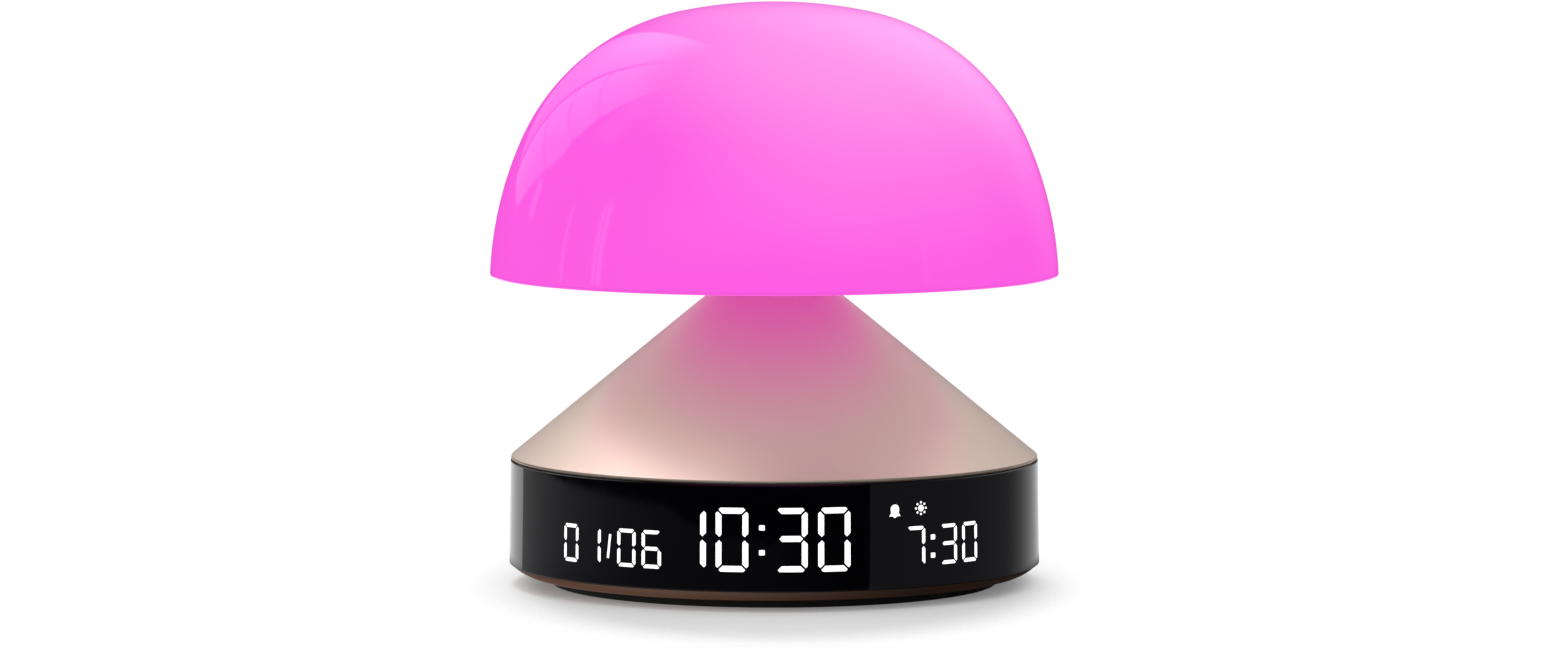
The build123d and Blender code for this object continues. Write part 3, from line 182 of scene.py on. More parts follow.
# Each soft panel: first and last azimuth, lowest and highest elevation, width of its edge, and brightness.
PANELS = ((-105.6, -103.9, 1.0, 21.5, 0.3, 1.4), (-102.7, -101.1, 1.0, 20.5, 0.3, 1.2),
          (-84.9, -83.5, 0.0, 16.5, 0.3, 0.8), (-59.0, -54.5, 8.0, 14.0, 0.6, 0.5),
          (-90.0, -73.0, 33.0, 50.0, 4.0, 0.35), (115.0, 117.5, 1.0, 14.0, 0.5, 0.2))
# The soft box above: azimuth and elevation, the angles from its centre where it starts to fade and ends,
# and its brightness.
BOX_CENTRE, BOX_SPREAD, BOX_LIGHT = (32.0, 32.0), (8.0, 42.0), 0.60
# The soft light in front: the forward part of a way and the elevations over which it rises, and brightness.
FRONT_TURN, FRONT_RISE, FRONT_LIGHT = (0.30, 0.95), (2.0, 26.0), 0.60
STUDIO_DARK = 0.03        # brightness where nothing else shines
# The table as glossy surfaces see it, in metres: a sheet on each side, bounded by lines a * x + b * y = c.
TABLE_R, TABLE_DARK = 0.55, 0.002
# Its sheen, which fades around the clock: first and last angle from the left to the front, and brightness.
TABLE_SHEEN = ((-25.0, 60.0, 0.24), (60.0, 125.0, 0.07))
# Where the sheen ends: away from the axis, and in front of the clock.
SHEEN_REACH, SHEEN_FRONT = (0.405, 0.425), (-0.288, -0.302)
FLOOR_FADE_START = 0.72   # share of the floor's half width at which it starts to fade
# Each sheet's line and brightness. The right sheet dims with the angle, in degrees, about a point.
LEFT_SHEET_LINE, LEFT_SHEET_LIGHT = (0.79, 0.61, -0.0663), 1.0
RIGHT_SHEET_LINE, RIGHT_SHEET_PIVOT = (0.742, 0.670, -0.0271), (0.065, -0.033)
RIGHT_SHEET_TURN, RIGHT_SHEET_LIGHT = (6.0, 62.0), (0.85, 0.16)
SHEET_EDGE = 0.0008       # half the width of a sheet's soft edge
# Painted shadow of the clock: close to it the table is dimmer: from where to where, and its brightness from
# the left to the right.
NEAR_REACH, NEAR_SIDES, NEAR_LIGHT = (0.082, 0.115), (-0.055, 0.045), (0.36, 0.05)
LAMP_PLACE, LAMP_TARGET = Vector((-0.25, 0.72, 1.05)), Vector((0.0, 0.0, 0.05))
# The lamps that only the cone sees: their width, and the place and power of each.
CONE_LAMP_SIZE = 1.15
CONE_LAMPS = {"Left cone lamp": (Vector((-0.66, -0.20, 0.96)), 6.1),
              "Right cone lamp": (Vector((0.75, 0.02, 0.85)), 1.9),
              "Rear cone lamp": (Vector((-0.06, 1.13, 0.46)), 0.55)}

# ---- Shared effects ----
# Handling marks: the noise over which a patch rises, and the smears in it: their share of its size, and
# their stretch.
PATCH_REACH, SMEAR_SHARE, SMEAR_STRETCH = (0.45, 0.7), 0.15, (1.0, 1.0, 0.3)
# Edge wear: the likeness of the bevelled and the true normal over which it rises, and the noise over it.
EDGE_REACH, BREAK_UP_REACH, BEVEL_SAMPLES = (0.995, 0.85), (0.35, 0.6), 4
# Circuit traces: distances from the edge and from the middle of a cell, and how unevenly the cells lie.
TRACE_REACH, PAD_REACH, TRACE_SPREAD = (0.07, 0.04), (0.13, 0.10), 0.75

# ---- Looks of single materials ----
# Clouds in the glow of the shade and of the figures: size, where the noise starts and ends, and brightness.
CLOUD_SIZE, CLOUD_REACH, CLOUD_LIGHT = 0.045, (0.3, 0.7), (0.98, 1.0)
FIGURE_CLOUD_SIZE, FIGURE_CLOUD_REACH, FIGURE_CLOUD_LIGHT = 0.003, (0.2, 0.8), (0.96, 1.0)
TURNING_SPACING, TURNING_DEPTH = 0.00035, 0.000003        # fine rings on the rose gold
TRACE_PITCH, TRACE_DEPTH = 0.0035, 0.00003                # copper runs on the circuit boards
TRACE_TONE, PAD_TONE = (0.03, 0.22, 0.09), (0.62, 0.60, 0.56)
# Lamp packages: the size of the clouds in them, and the two tones and the two glows that the clouds mix.
PACKAGE_CLOUD_SIZE = 0.0015
PACKAGE_TONES = ((0.85, 0.74, 0.30, 1.0), (0.92, 0.90, 0.78, 1.0))
PACKAGE_GLOWS = ((1.0, 0.35, 0.80, 1.0), (1.0, 0.55, 0.88, 1.0))
# Lines over the ribbon's wires: pitch, the part of a wave that they cover, their share and depth, and tone.
RIBBON_PITCH, RIBBON_REACH, RIBBON_SHARE, RIBBON_DEPTH = 1.0 * MM, (0.3, 1.0), 0.35, 0.00003
RIBBON_LINE_TONE = (0.40, 0.37, 0.30)
# Fibres in the speaker's paper: size, detail, stretch and depth, two tones, and their change of roughness.
FIBRE_SIZE, FIBRE_DETAIL, FIBRE_STRETCH, FIBRE_DEPTH = 0.0004, 5.0, (1.0, 1.0, 4.0), 0.00005
FIBRE_TONES = ((0.008, 0.008, 0.009, 1.0), (0.05, 0.048, 0.045, 1.0))
FIBRE_REACH, FIBRE_ROUGHNESS = (0.2, 0.8), (0.7, 0.95)


# ---- Settings ----
def colour_setting(name, description, default):
    """A setting for a colour."""
    return FloatVectorProperty(name=name, description=description, subtype="COLOR", size=3, min=0.0, max=1.0,
                               default=default)


def share_setting(name, description, default):
    """A setting for a share from 0 to 1."""
    return FloatProperty(name=name, description=description, subtype="FACTOR", min=0.0, max=1.0,
                         default=default)


def length_setting(name, description, default):
    """A setting for a length in metres."""
    return FloatProperty(name=name, description=description, unit="LENGTH", default=default)


def level_setting(name, description, default):
    """A setting for a level of light."""
    return FloatProperty(name=name, description=description, min=0.0, default=default)


class ShadeSettings(bpy.types.PropertyGroup):
    """The glowing shade of the lamp head."""

    glow: colour_setting("Glow", "Colour of the light that the shade gives off", (0.775, 0.073, 0.61))
    # Painted highlight: glow added where the shade faces soft light from above on the right.
    painted_light_patch: colour_setting("Painted light patch", "Light added where the lamps shine most", (0.0, 0.285, 0.08))
    opal: colour_setting("Opal", "Colour of the opal plastic under the glow", (0.28, 0.045, 0.21))
    gloss: share_setting("Gloss roughness", "Roughness of the polished outside", 0.07)
    underside_core: colour_setting("Underside core", "Glow of the underside by the stem", (0.63, 0.024, 0.52))
    # The pink glow by the stem is the lamp's; the pale, near-neutral glow at the rim is painted light,
    # standing in for room light on the underside.
    underside_rim_painted_light: colour_setting("Underside rim painted light", "Glow of the underside at its rim", (0.34, 0.385, 0.33))


class ConeSettings(bpy.types.PropertyGroup):
    """The metal cone."""

    metal: colour_setting("Metal", "Colour of the satin metal", (0.88, 0.715, 0.61))
    roughness: share_setting("Roughness", "Roughness of the satin finish", 0.40)
    grain: length_setting("Grain", "Size of the blasted grain", 0.00022)


class BandSettings(bpy.types.PropertyGroup):
    """The glossy display band and its lit figures."""

    lacquer: colour_setting("Lacquer", "Colour of the band", (0.0008, 0.0007, 0.0014))
    gloss: share_setting("Gloss roughness", "Roughness of the polished band", 0.035)
    light: colour_setting("Figure light", "Colour of the lit figures", (1.0, 1.0, 1.0))
    light_strength: level_setting("Figure strength", "Brightness of the figures", 0.96)


class ButtonSettings(bpy.types.PropertyGroup):
    """The buttons at the back."""

    dish: length_setting("Dish depth", "Depth of the hollow in a cap", 0.00028)
    symbol_size: length_setting("Symbol size", "Height of the symbol on a cap", 0.0034)
    relief: length_setting("Symbol relief", "How far the symbol stands out of the cap", 0.00006)


class FootSettings(bpy.types.PropertyGroup):
    """The rubber foot."""

    rubber: colour_setting("Rubber", "Colour of the foot", (0.005, 0.0045, 0.004))
    grooves: IntProperty(name="Grooves", description="Grooves in the sole", min=0, default=4)


class StageSettings(bpy.types.PropertyGroup):
    """Camera, floor and light."""

    distance: length_setting("Camera distance", "From the clock's axis to the camera", 1.865)
    height: length_setting("Camera height", "Height of the camera over the table", 0.219)
    tilt: FloatProperty(name="Camera tilt", description="Angle by which the camera looks down",
                        subtype="ANGLE", unit="ROTATION", default=0.0806)
    lens: FloatProperty(name="Lens", description="Focal length of the camera", unit="CAMERA", default=165.14)
    shift: FloatProperty(name="Shift", description="Sideways shift of the frame", default=-0.0015)
    sky: level_setting("Sky light", "Level of the light from all round", 0.85)
    lamp_power: FloatProperty(name="Lamp power", description="Power of the large soft lamp", unit="POWER",
                              default=5.5)
    lamp_size: length_setting("Lamp size", "Width of the large soft lamp", 0.5)
    cone_light: level_setting("Cone light", "Share of the power of the lamps that only the cone sees", 1.0)
    floor_fade: FloatVectorProperty(name="Floor fade", size=2, unit="LENGTH", default=(0.084, 0.145),
                                    description="Half widths at which the floor ends, x and y")
    floor_tone: colour_setting("Floor", "Colour of the floor", (0.8, 0.8, 0.8))
    floor_lift: level_setting("Floor lift", "Brightness added so that the floor reads as white", 0.155)


class ClockSettings(bpy.types.PropertyGroup):
    """Every setting of the clock."""

    shade: PointerProperty(type=ShadeSettings)
    cone: PointerProperty(type=ConeSettings)
    band: PointerProperty(type=BandSettings)
    buttons: PointerProperty(type=ButtonSettings)
    foot: PointerProperty(type=FootSettings)
    stage: PointerProperty(type=StageSettings)


def settings():
    """The settings of the scene that is open."""
    return bpy.context.scene.sunrise_clock


# ---- Places and outlines ----
def polar(radius, angle):
    """The x and y of a point at a radius and an angle from the front."""
    turn = math.radians(angle)
    return radius * math.sin(turn), -radius * math.cos(turn)


def facing(angle, height):
    """A frame on the clock's axis whose z points outward at an angle and whose y is upright."""
    columns = (polar(1, angle + 90) + (0,), (0, 0, 1), polar(1, angle) + (0,))
    return Matrix.Translation((0, 0, height)) @ Matrix(columns).transposed().to_4x4()


def arc(centre, radius, start, end, steps):
    """Points on an arc between two angles in degrees, counted from the first axis."""
    angles = [math.radians(start + (end - start) * step / steps) for step in range(steps + 1)]
    return [(centre[0] + radius * math.cos(angle), centre[1] + radius * math.sin(angle)) for angle in angles]


def circle(centre, radius, steps=DISC_STEPS):
    """Points on a full circle."""
    return arc(centre, radius, 0, 360, steps)[:-1]


def rounded(corners, steps=ROUND_STEPS):
    """A closed outline in which each corner (x, y, size) becomes an arc of that size."""
    points = []
    for index, (x, y, size) in enumerate(corners):
        here = Vector((x, y))
        if not size:
            points.append(here)
            continue
        before = (Vector(corners[index - 1][:2]) - here).normalized()
        after = (Vector(corners[(index + 1) % len(corners)][:2]) - here).normalized()
        half = before.angle(after) / 2
        centre = here + (before + after).normalized() * size / math.sin(half)
        start = here + before * size / math.tan(half) - centre
        turn = -start.angle_signed(here + after * size / math.tan(half) - centre)
        first = math.atan2(start.y, start.x)
        for step in range(steps + 1):
            angle = first + turn * step / steps
            points.append(centre + size * Vector((math.cos(angle), math.sin(angle))))
    return points


def with_corner(points, size):
    """The same corners, each with one size of rounding."""
    return [(x, y, size) for x, y in points]


def arc_band(inner, outer, start, end):
    """Outline of a stretch of a ring."""
    return arc((0, 0), outer, start, end, RING_STEPS) + arc((0, 0), inner, end, start, RING_STEPS)


def bar(centre, size, corner, tilt=0.0):
    """Outline of a bar with rounded corners, turned by a tilt in degrees."""
    half_x, half_y = size[0] / 2, size[1] / 2
    turn = Matrix.Rotation(math.radians(tilt), 2)
    corners = [(half_x, half_y), (-half_x, half_y), (-half_x, -half_y), (half_x, -half_y)]
    outline = rounded(with_corner(corners, corner), SIGN_ROUND_STEPS)
    return [Vector(centre) + turn @ point for point in outline]


# ---- Mesh building ----
def add_turned(mesh, profile, steps=TURN_STEPS, place=None):
    """Adds the closed skin that a closed profile of radius and height sweeps about the z axis of a place."""
    place = place or Matrix.Identity(4)
    rings = []
    for radius, height in profile:
        count = 1 if radius < ON_AXIS else steps
        turns = [2 * math.pi * step / steps for step in range(count)]
        rings.append([mesh.verts.new(place @ Vector((radius * math.cos(t), radius * math.sin(t), height)))
                      for t in turns])
    for first, second in zip(rings, rings[1:] + rings[:1]):
        if len(first) == len(second) == 1:
            continue
        for step in range(steps):
            after = (step + 1) % steps
            corners = [first[step % len(first)], first[after % len(first)],
                       second[after % len(second)], second[step % len(second)]]
            mesh.faces.new(dict.fromkeys(corners))


def add_prism(mesh, outline, depth, place, slices=None):
    """Adds a flat-sided prism under an outline: place gives each (x, y, z), and slices cuts it along x."""
    prism = bmesh.new()
    prism.faces.new([prism.verts.new((x, y, 0)) for x, y in outline])
    if slices:
        across = [x for x, y in outline]
        cut = slices * math.ceil(min(across) / slices)
        while cut < max(across):
            parts = prism.verts[:] + prism.edges[:] + prism.faces[:]
            bmesh.ops.bisect_plane(prism, geom=parts, dist=ON_AXIS, plane_co=(cut, 0, 0), plane_no=(1, 0, 0))
            cut += slices
    grown = bmesh.ops.extrude_face_region(prism, geom=prism.faces[:], use_keep_orig=True)["geom"]
    for vert in grown:
        if isinstance(vert, bmesh.types.BMVert):
            vert.co.z -= depth
    renamed = {vert: mesh.verts.new(place(*vert.co)) for vert in prism.verts}
    for face in prism.faces:
        mesh.faces.new([renamed[vert] for vert in face.verts])
    prism.free()


def finish_mesh(name, mesh, material):
    """The object of a finished mesh, smooth but for its sharp edges."""
    bmesh.ops.recalc_face_normals(mesh, faces=mesh.faces[:])
    data = bpy.data.meshes.new(name)
    mesh.to_mesh(data)
    mesh.free()
    data.shade_smooth()
    data.set_sharp_from_angle(angle=SMOOTH_ANGLE)
    data.materials.append(material)
    made = bpy.data.objects.new(name, data)
    bpy.context.scene.collection.objects.link(made)
    return made


def fit(piece, body, slot, *nodes):
    """Puts a piece on its body and hides the nodes that it stands for. The slot is not used."""
    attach(piece, body)
    if nodes:
        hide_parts(*nodes)
    return piece


# ---- Shader building ----
def plug(tree, value, socket):
    """Links an output into a socket, or sets the socket to a plain value."""
    if isinstance(value, bpy.types.NodeSocket):
        tree.links.new(value, socket)
    else:
        socket.default_value = value


def wire(tree, sockets, **values):
    """Plugs values into sockets by their names, in which a space is written as an underscore."""
    for label, value in values.items():
        plug(tree, value, sockets[label.replace("_", " ")])


def add_node(tree, kind, inputs=None, **choices):
    """A new node with its choices made and its inputs plugged."""
    made = tree.nodes.new(kind)
    for name, value in choices.items():
        setattr(made, name, value)
    for name, value in (inputs or {}).items():
        plug(tree, value, made.inputs[name])
    return made


def calculate(tree, operation, *values):
    """The result of one Math node."""
    return add_node(tree, "ShaderNodeMath", dict(enumerate(values)), operation=operation).outputs[0]


def combine(tree, operation, *vectors, output="Vector"):
    """The result of one Vector Math node."""
    made = add_node(tree, "ShaderNodeVectorMath", dict(enumerate(vectors)), operation=operation)
    return made.outputs[output]


def scaled(tree, colour, factor):
    """A colour times a factor."""
    made = add_node(tree, "ShaderNodeVectorMath", {0: colour, "Scale": factor}, operation="SCALE")
    return made.outputs["Vector"]


def split(tree, place):
    """The X, Y and Z of a vector."""
    return add_node(tree, "ShaderNodeSeparateXYZ", {0: place}).outputs


def ramp(tree, value, start, end, low=0.0, high=1.0):
    """A value eased from low at start to high at end."""
    inputs = {"Value": value, "From Min": start, "From Max": end, "To Min": low, "To Max": high}
    made = add_node(tree, "ShaderNodeMapRange", inputs, interpolation_type="SMOOTHSTEP")
    return made.outputs["Result"]


def blend(tree, factor, first, second):
    """A colour between two colours."""
    made = add_node(tree, "ShaderNodeMix", {0: factor, 6: first, 7: second}, data_type="RGBA")
    return made.outputs[2]


def rgba(colour):
    """A colour with full alpha."""
    return (*colour, 1.0)


def place_in_piece(tree):
    """Coordinates in metres in the piece's own frame."""
    return add_node(tree, "ShaderNodeTexCoord").outputs["Object"]


def distance_from_axis(tree):
    """Distance of the shaded point from the clock's axis."""
    return combine(tree, "LENGTH", combine(tree, "MULTIPLY", place_in_piece(tree), (1, 1, 0)), output="Value")


def noise(tree, size, detail=2.0, stretch=(1.0, 1.0, 1.0)):
    """Soft noise with features of a size in metres, stretched along the axes."""
    place = combine(tree, "MULTIPLY", place_in_piece(tree), stretch)
    scale = calculate(tree, "DIVIDE", 1.0, size)
    made = add_node(tree, "ShaderNodeTexNoise", {"Vector": place, "Scale": scale, "Detail": detail})
    return made.outputs["Fac"]


FLOAT, COLOUR = "NodeSocketFloat", "NodeSocketColor"


def new_group(name, inputs, outputs):
    """A shader node group with named sockets, and its input and output nodes."""
    tree = bpy.data.node_groups.new(name, "ShaderNodeTree")
    for label, kind, default in inputs:
        tree.interface.new_socket(label, in_out="INPUT", socket_type=kind).default_value = default
    for label, kind in outputs:
        tree.interface.new_socket(label, in_out="OUTPUT", socket_type=kind)
    return tree, tree.nodes.new("NodeGroupInput").outputs, tree.nodes.new("NodeGroupOutput").inputs


def make_grain_group():
    """Fine grain: varies a colour and a roughness and gives a height."""
    inputs = (("Colour", COLOUR, (0.5, 0.5, 0.5, 1)), ("Tone Change", FLOAT, 0.1), ("Roughness", FLOAT, 0.5),
              ("Roughness Change", FLOAT, 0.05), ("Size", FLOAT, 0.0003))
    outputs = (("Colour", COLOUR), ("Roughness", FLOAT), ("Height", FLOAT))
    tree, given, wanted = new_group("Fine grain", inputs, outputs)
    fine = noise(tree, given["Size"])
    swing = calculate(tree, "MULTIPLY_ADD", fine, 2.0, -1.0)
    gain = calculate(tree, "MULTIPLY_ADD", swing, given["Tone Change"], 1.0)
    rough = calculate(tree, "MULTIPLY_ADD", swing, given["Roughness Change"], given["Roughness"])
    wire(tree, wanted, Colour=scaled(tree, given["Colour"], gain), Roughness=rough, Height=fine)
    return tree


def make_marks_group():
    """Handling marks: faint cloudy patches with finer smears in them."""
    tree, given, wanted = new_group("Handling marks", (("Size", FLOAT, 0.02),), (("Mask", FLOAT),))
    patches = ramp(tree, noise(tree, given["Size"], 3.0), *PATCH_REACH)
    smears = noise(tree, calculate(tree, "MULTIPLY", given["Size"], SMEAR_SHARE), 2.0, SMEAR_STRETCH)
    wire(tree, wanted, Mask=calculate(tree, "MULTIPLY", patches, smears))
    return tree


def make_wear_group():
    """Edge wear: a mask along outer edges, broken up by noise."""
    inputs = (("Width", FLOAT, 0.0003), ("Break Up", FLOAT, 0.002))
    tree, given, wanted = new_group("Edge wear", inputs, (("Mask", FLOAT),))
    bevel = add_node(tree, "ShaderNodeBevel", {"Radius": given["Width"]}, samples=BEVEL_SAMPLES)
    normal = add_node(tree, "ShaderNodeNewGeometry").outputs["Normal"]
    likeness = combine(tree, "DOT_PRODUCT", bevel.outputs["Normal"], normal, output="Value")
    broken = ramp(tree, noise(tree, given["Break Up"]), *BREAK_UP_REACH)
    wire(tree, wanted, Mask=calculate(tree, "MULTIPLY", ramp(tree, likeness, *EDGE_REACH), broken))
    return tree


def make_turning_group():
    """Turning marks: fine rings about the clock's axis, as a lathe or a mould cut on one leaves them."""
    tree, given, wanted = new_group("Turning marks", (("Spacing", FLOAT, 0.0004),), (("Height", FLOAT),))
    way = calculate(tree, "ADD", distance_from_axis(tree), split(tree, place_in_piece(tree))["Z"])
    rings = {"W": calculate(tree, "DIVIDE", way, given["Spacing"]), "Scale": 1.0, "Detail": 2.0}
    uneven = add_node(tree, "ShaderNodeTexNoise", rings, noise_dimensions="1D")
    wire(tree, wanted, Height=uneven.outputs["Fac"])
    return tree


def make_traces_group():
    """Circuit traces: a mask of copper runs under the mask layer, and a mask of bare round pads."""
    outputs = (("Traces", FLOAT), ("Pads", FLOAT))
    tree, given, wanted = new_group("Circuit traces", (("Pitch", FLOAT, 0.003),), outputs)
    scale = calculate(tree, "DIVIDE", 1.0, given["Pitch"])
    cells = {"Vector": place_in_piece(tree), "Scale": scale, "Randomness": TRACE_SPREAD}
    runs, dots = (add_node(tree, "ShaderNodeTexVoronoi", cells, feature=feature).outputs["Distance"]
                  for feature in ("DISTANCE_TO_EDGE", "F1"))
    wire(tree, wanted, Traces=ramp(tree, runs, *TRACE_REACH), Pads=ramp(tree, dots, *PAD_REACH))
    return tree


EFFECTS = {"grain": make_grain_group, "marks": make_marks_group, "wear": make_wear_group,
           "turning": make_turning_group, "traces": make_traces_group}
made_effects = {}


def effect(tree, name, **values):
    """The outputs of a shared effect, placed in a material with its own values."""
    if name not in made_effects:
        made_effects[name] = EFFECTS[name]()
    made = add_node(tree, "ShaderNodeGroup", node_tree=made_effects[name])
    wire(tree, made.inputs, **values)
    return made.outputs


def new_material(name, **values):
    """A material, its tree and its Principled shader's sockets, of which some are set to constant values."""
    made = bpy.data.materials.new(name)
    made.use_nodes = True
    inputs = made.node_tree.nodes["Principled BSDF"].inputs
    wire(made.node_tree, inputs, **values)
    return made, made.node_tree, inputs


def bump(tree, height, depth):
    """The normal of a bumped surface, with the bump's depth in metres."""
    return add_node(tree, "ShaderNodeBump", {"Height": height, "Distance": depth}).outputs["Normal"]


def cover(tree, inputs, mask, colour):
    """Lays a colour over a shader's base colour where a mask is."""
    under = inputs["Base Color"].links[0].from_socket
    plug(tree, blend(tree, mask, under, rgba(colour)), inputs["Base Color"])


def grained(name, colour, roughness, size, depth=0.0, tone=0.08, spread=0.05, worn=None, wear=0.0003,
            wear_share=1.0, marks=0.0, soil=None, soil_share=0.0, smear=0.0, **values):
    """A material with grain of a size and a depth, which changes its tone and spreads its roughness.

    Its edges may be worn to another colour, and handling marks may carry some soil and be rougher.
    """
    made, tree, inputs = new_material(name, **values)
    grain = effect(tree, "grain", Colour=rgba(colour), Tone_Change=tone, Roughness=roughness,
                   Roughness_Change=spread, Size=size)
    wire(tree, inputs, Base_Color=grain["Colour"], Roughness=grain["Roughness"])
    if worn:
        edges = effect(tree, "wear", Width=wear)["Mask"]
        cover(tree, inputs, calculate(tree, "MULTIPLY", edges, wear_share), worn)
    if marks:
        mask = effect(tree, "marks", Size=marks)["Mask"]
        wire(tree, inputs, Roughness=calculate(tree, "MULTIPLY_ADD", mask, smear, grain["Roughness"]))
        if soil:
            cover(tree, inputs, calculate(tree, "MULTIPLY", mask, soil_share), soil)
    if depth:
        wire(tree, inputs, Normal=bump(tree, grain["Height"], depth))
    return made, tree, inputs


# ---- Materials ----
def lit_opal():
    """Polished opal plastic that glows, with a painted highlight on its upper right for soft light from
    above, and less along the line of its rim.
    """
    shade = settings().shade
    made, tree, inputs = grained("Lit opal shade", shade.opal, shade.gloss, size=0.0006, depth=0.0000015,
                                 tone=0.02, spread=0.02, marks=0.03, smear=0.04, IOR=1.49,
                                 Emission_Strength=1.0)
    clouds = ramp(tree, noise(tree, CLOUD_SIZE, 1.0), *CLOUD_REACH, *CLOUD_LIGHT)
    # The patch is a painted highlight, standing in for soft light that falls on the shade from above on the
    # right.
    outward = add_node(tree, "ShaderNodeTexCoord").outputs["Normal"]
    towards = combine(tree, "DOT_PRODUCT", outward, PAINTED_LIGHT_WAY, output="Value")
    patch = scaled(tree, shade.painted_light_patch, ramp(tree, towards, *PAINTED_LIGHT_REACH))
    height = split(tree, place_in_piece(tree))["Z"]
    off_line = calculate(tree, "ABSOLUTE", calculate(tree, "SUBTRACT", height, DOME_RIM + RIM_LINE_RISE))
    line = ramp(tree, off_line, RIM_LINE_WIDTH, RIM_LINE_WIDTH / 3, 1.0, RIM_LINE_SHADE)
    lit = combine(tree, "ADD", scaled(tree, shade.glow, clouds), patch)
    wire(tree, inputs, Emission_Color=scaled(tree, lit, line))
    return made


def lit_underside():
    """Satin opal plastic that glows deep pink by the stem; its paler glow towards the rim is painted light
    for room light falling on it.
    """
    shade = settings().shade
    made, tree, inputs = grained("Lit opal underside", (0.32, 0.26, 0.27), 0.42, size=0.0004, depth=0.000004,
                                 tone=0.04, spread=0.06, IOR=1.49, Emission_Strength=1.0)
    outward = ramp(tree, distance_from_axis(tree), *UNDERSIDE_BLEND)
    # The rim colour is painted light: room light on the underside, given as glow so that the cone mirrors it.
    core, rim = rgba(shade.underside_core), rgba(shade.underside_rim_painted_light)
    wire(tree, inputs, Emission_Color=blend(tree, outward, core, rim))
    return made


def champagne_metal():
    """Blasted and anodised champagne metal."""
    cone = settings().cone
    return grained("Champagne satin metal", cone.metal, cone.roughness, cone.grain, depth=0.000012, tone=0.05,
                   marks=0.035, soil=(0.80, 0.66, 0.53), soil_share=0.10, smear=0.03, Metallic=1.0)[0]


def rose_gold():
    """Turned and lacquered rose gold."""
    made, tree, inputs = grained("Rose gold trim", (0.34, 0.21, 0.165), 0.30, size=0.0005, tone=0.05,
                                 spread=0.04, worn=(0.58, 0.42, 0.34), wear_share=0.5, Metallic=1.0,
                                 Specular_Tint=rgba((0.60, 0.42, 0.36)))
    turning = effect(tree, "turning", Spacing=TURNING_SPACING)["Height"]
    wire(tree, inputs, Normal=bump(tree, turning, TURNING_DEPTH))
    return made


def piano_black():
    """Polished black plastic with the faintest marks of handling."""
    band = settings().band
    return grained("Piano black band", band.lacquer, band.gloss, size=0.0008, tone=0.15, spread=0.01,
                   marks=0.025, smear=0.05, IOR=1.5, Specular_Tint=rgba((0.92, 0.87, 1.0)))[0]


def lit_window():
    """Clear-fronted window, evenly lit from behind with a trace of fall-off between its lamps."""
    band = settings().band
    made, tree, inputs = new_material("Lit figure window", IOR=1.5, Roughness=0.08,
                                      Emission_Strength=band.light_strength)
    even = ramp(tree, noise(tree, FIGURE_CLOUD_SIZE, 1.0), *FIGURE_CLOUD_REACH, *FIGURE_CLOUD_LIGHT)
    tint = effect(tree, "grain", Colour=rgba((0.6, 0.6, 0.62)), Tone_Change=0.03, Size=0.0005)
    wire(tree, inputs, Base_Color=tint["Colour"], Emission_Color=scaled(tree, band.light, even))
    return made


def rubber():
    """Matt black rubber, a little dusty."""
    return grained("Foot rubber", settings().foot.rubber, 0.75, size=0.00025, depth=0.00002, tone=0.25,
                   spread=0.1, marks=0.012, soil=(0.25, 0.24, 0.22), soil_share=0.05)[0]


def circuit_board():
    """Green solder mask over copper runs, with tinned pads."""
    made, tree, inputs = grained("Circuit board", (0.012, 0.11, 0.045), 0.32, size=0.0004, tone=0.12)
    masks = effect(tree, "traces", Pitch=TRACE_PITCH)
    cover(tree, inputs, masks["Traces"], TRACE_TONE)
    cover(tree, inputs, masks["Pads"], PAD_TONE)
    wire(tree, inputs, Metallic=masks["Pads"], Normal=bump(tree, masks["Traces"], TRACE_DEPTH))
    return made


def lamp_package():
    """Ivory lamp packages with a yellow phosphor tone."""
    made, tree, inputs = new_material("Lamp packages", Roughness=0.35, Emission_Strength=0.6)
    cloud = noise(tree, PACKAGE_CLOUD_SIZE, 1.0)
    wire(tree, inputs, Base_Color=blend(tree, cloud, *PACKAGE_TONES),
         Emission_Color=blend(tree, cloud, *PACKAGE_GLOWS))
    return made


def ribbon():
    """Ivory ribbon and socket plastic, with fine lines where the ribbon's wires run."""
    made, tree, inputs = grained("Ribbon and socket plastic", (0.66, 0.64, 0.55), 0.45, size=0.0004, tone=0.1)
    turn = calculate(tree, "MULTIPLY", split(tree, place_in_piece(tree))["X"], 2 * math.pi / RIBBON_PITCH)
    line = ramp(tree, calculate(tree, "SINE", turn), *RIBBON_REACH)
    cover(tree, inputs, calculate(tree, "MULTIPLY", line, RIBBON_SHARE), RIBBON_LINE_TONE)
    wire(tree, inputs, Normal=bump(tree, line, RIBBON_DEPTH))
    return made


def speaker_paper():
    """Pressed black paper with short fibres."""
    made, tree, inputs = new_material("Speaker paper")
    fibres = noise(tree, FIBRE_SIZE, FIBRE_DETAIL, FIBRE_STRETCH)
    wire(tree, inputs, Base_Color=blend(tree, fibres, *FIBRE_TONES),
         Roughness=ramp(tree, fibres, *FIBRE_REACH, *FIBRE_ROUGHNESS), Normal=bump(tree, fibres, FIBRE_DEPTH))
    return made


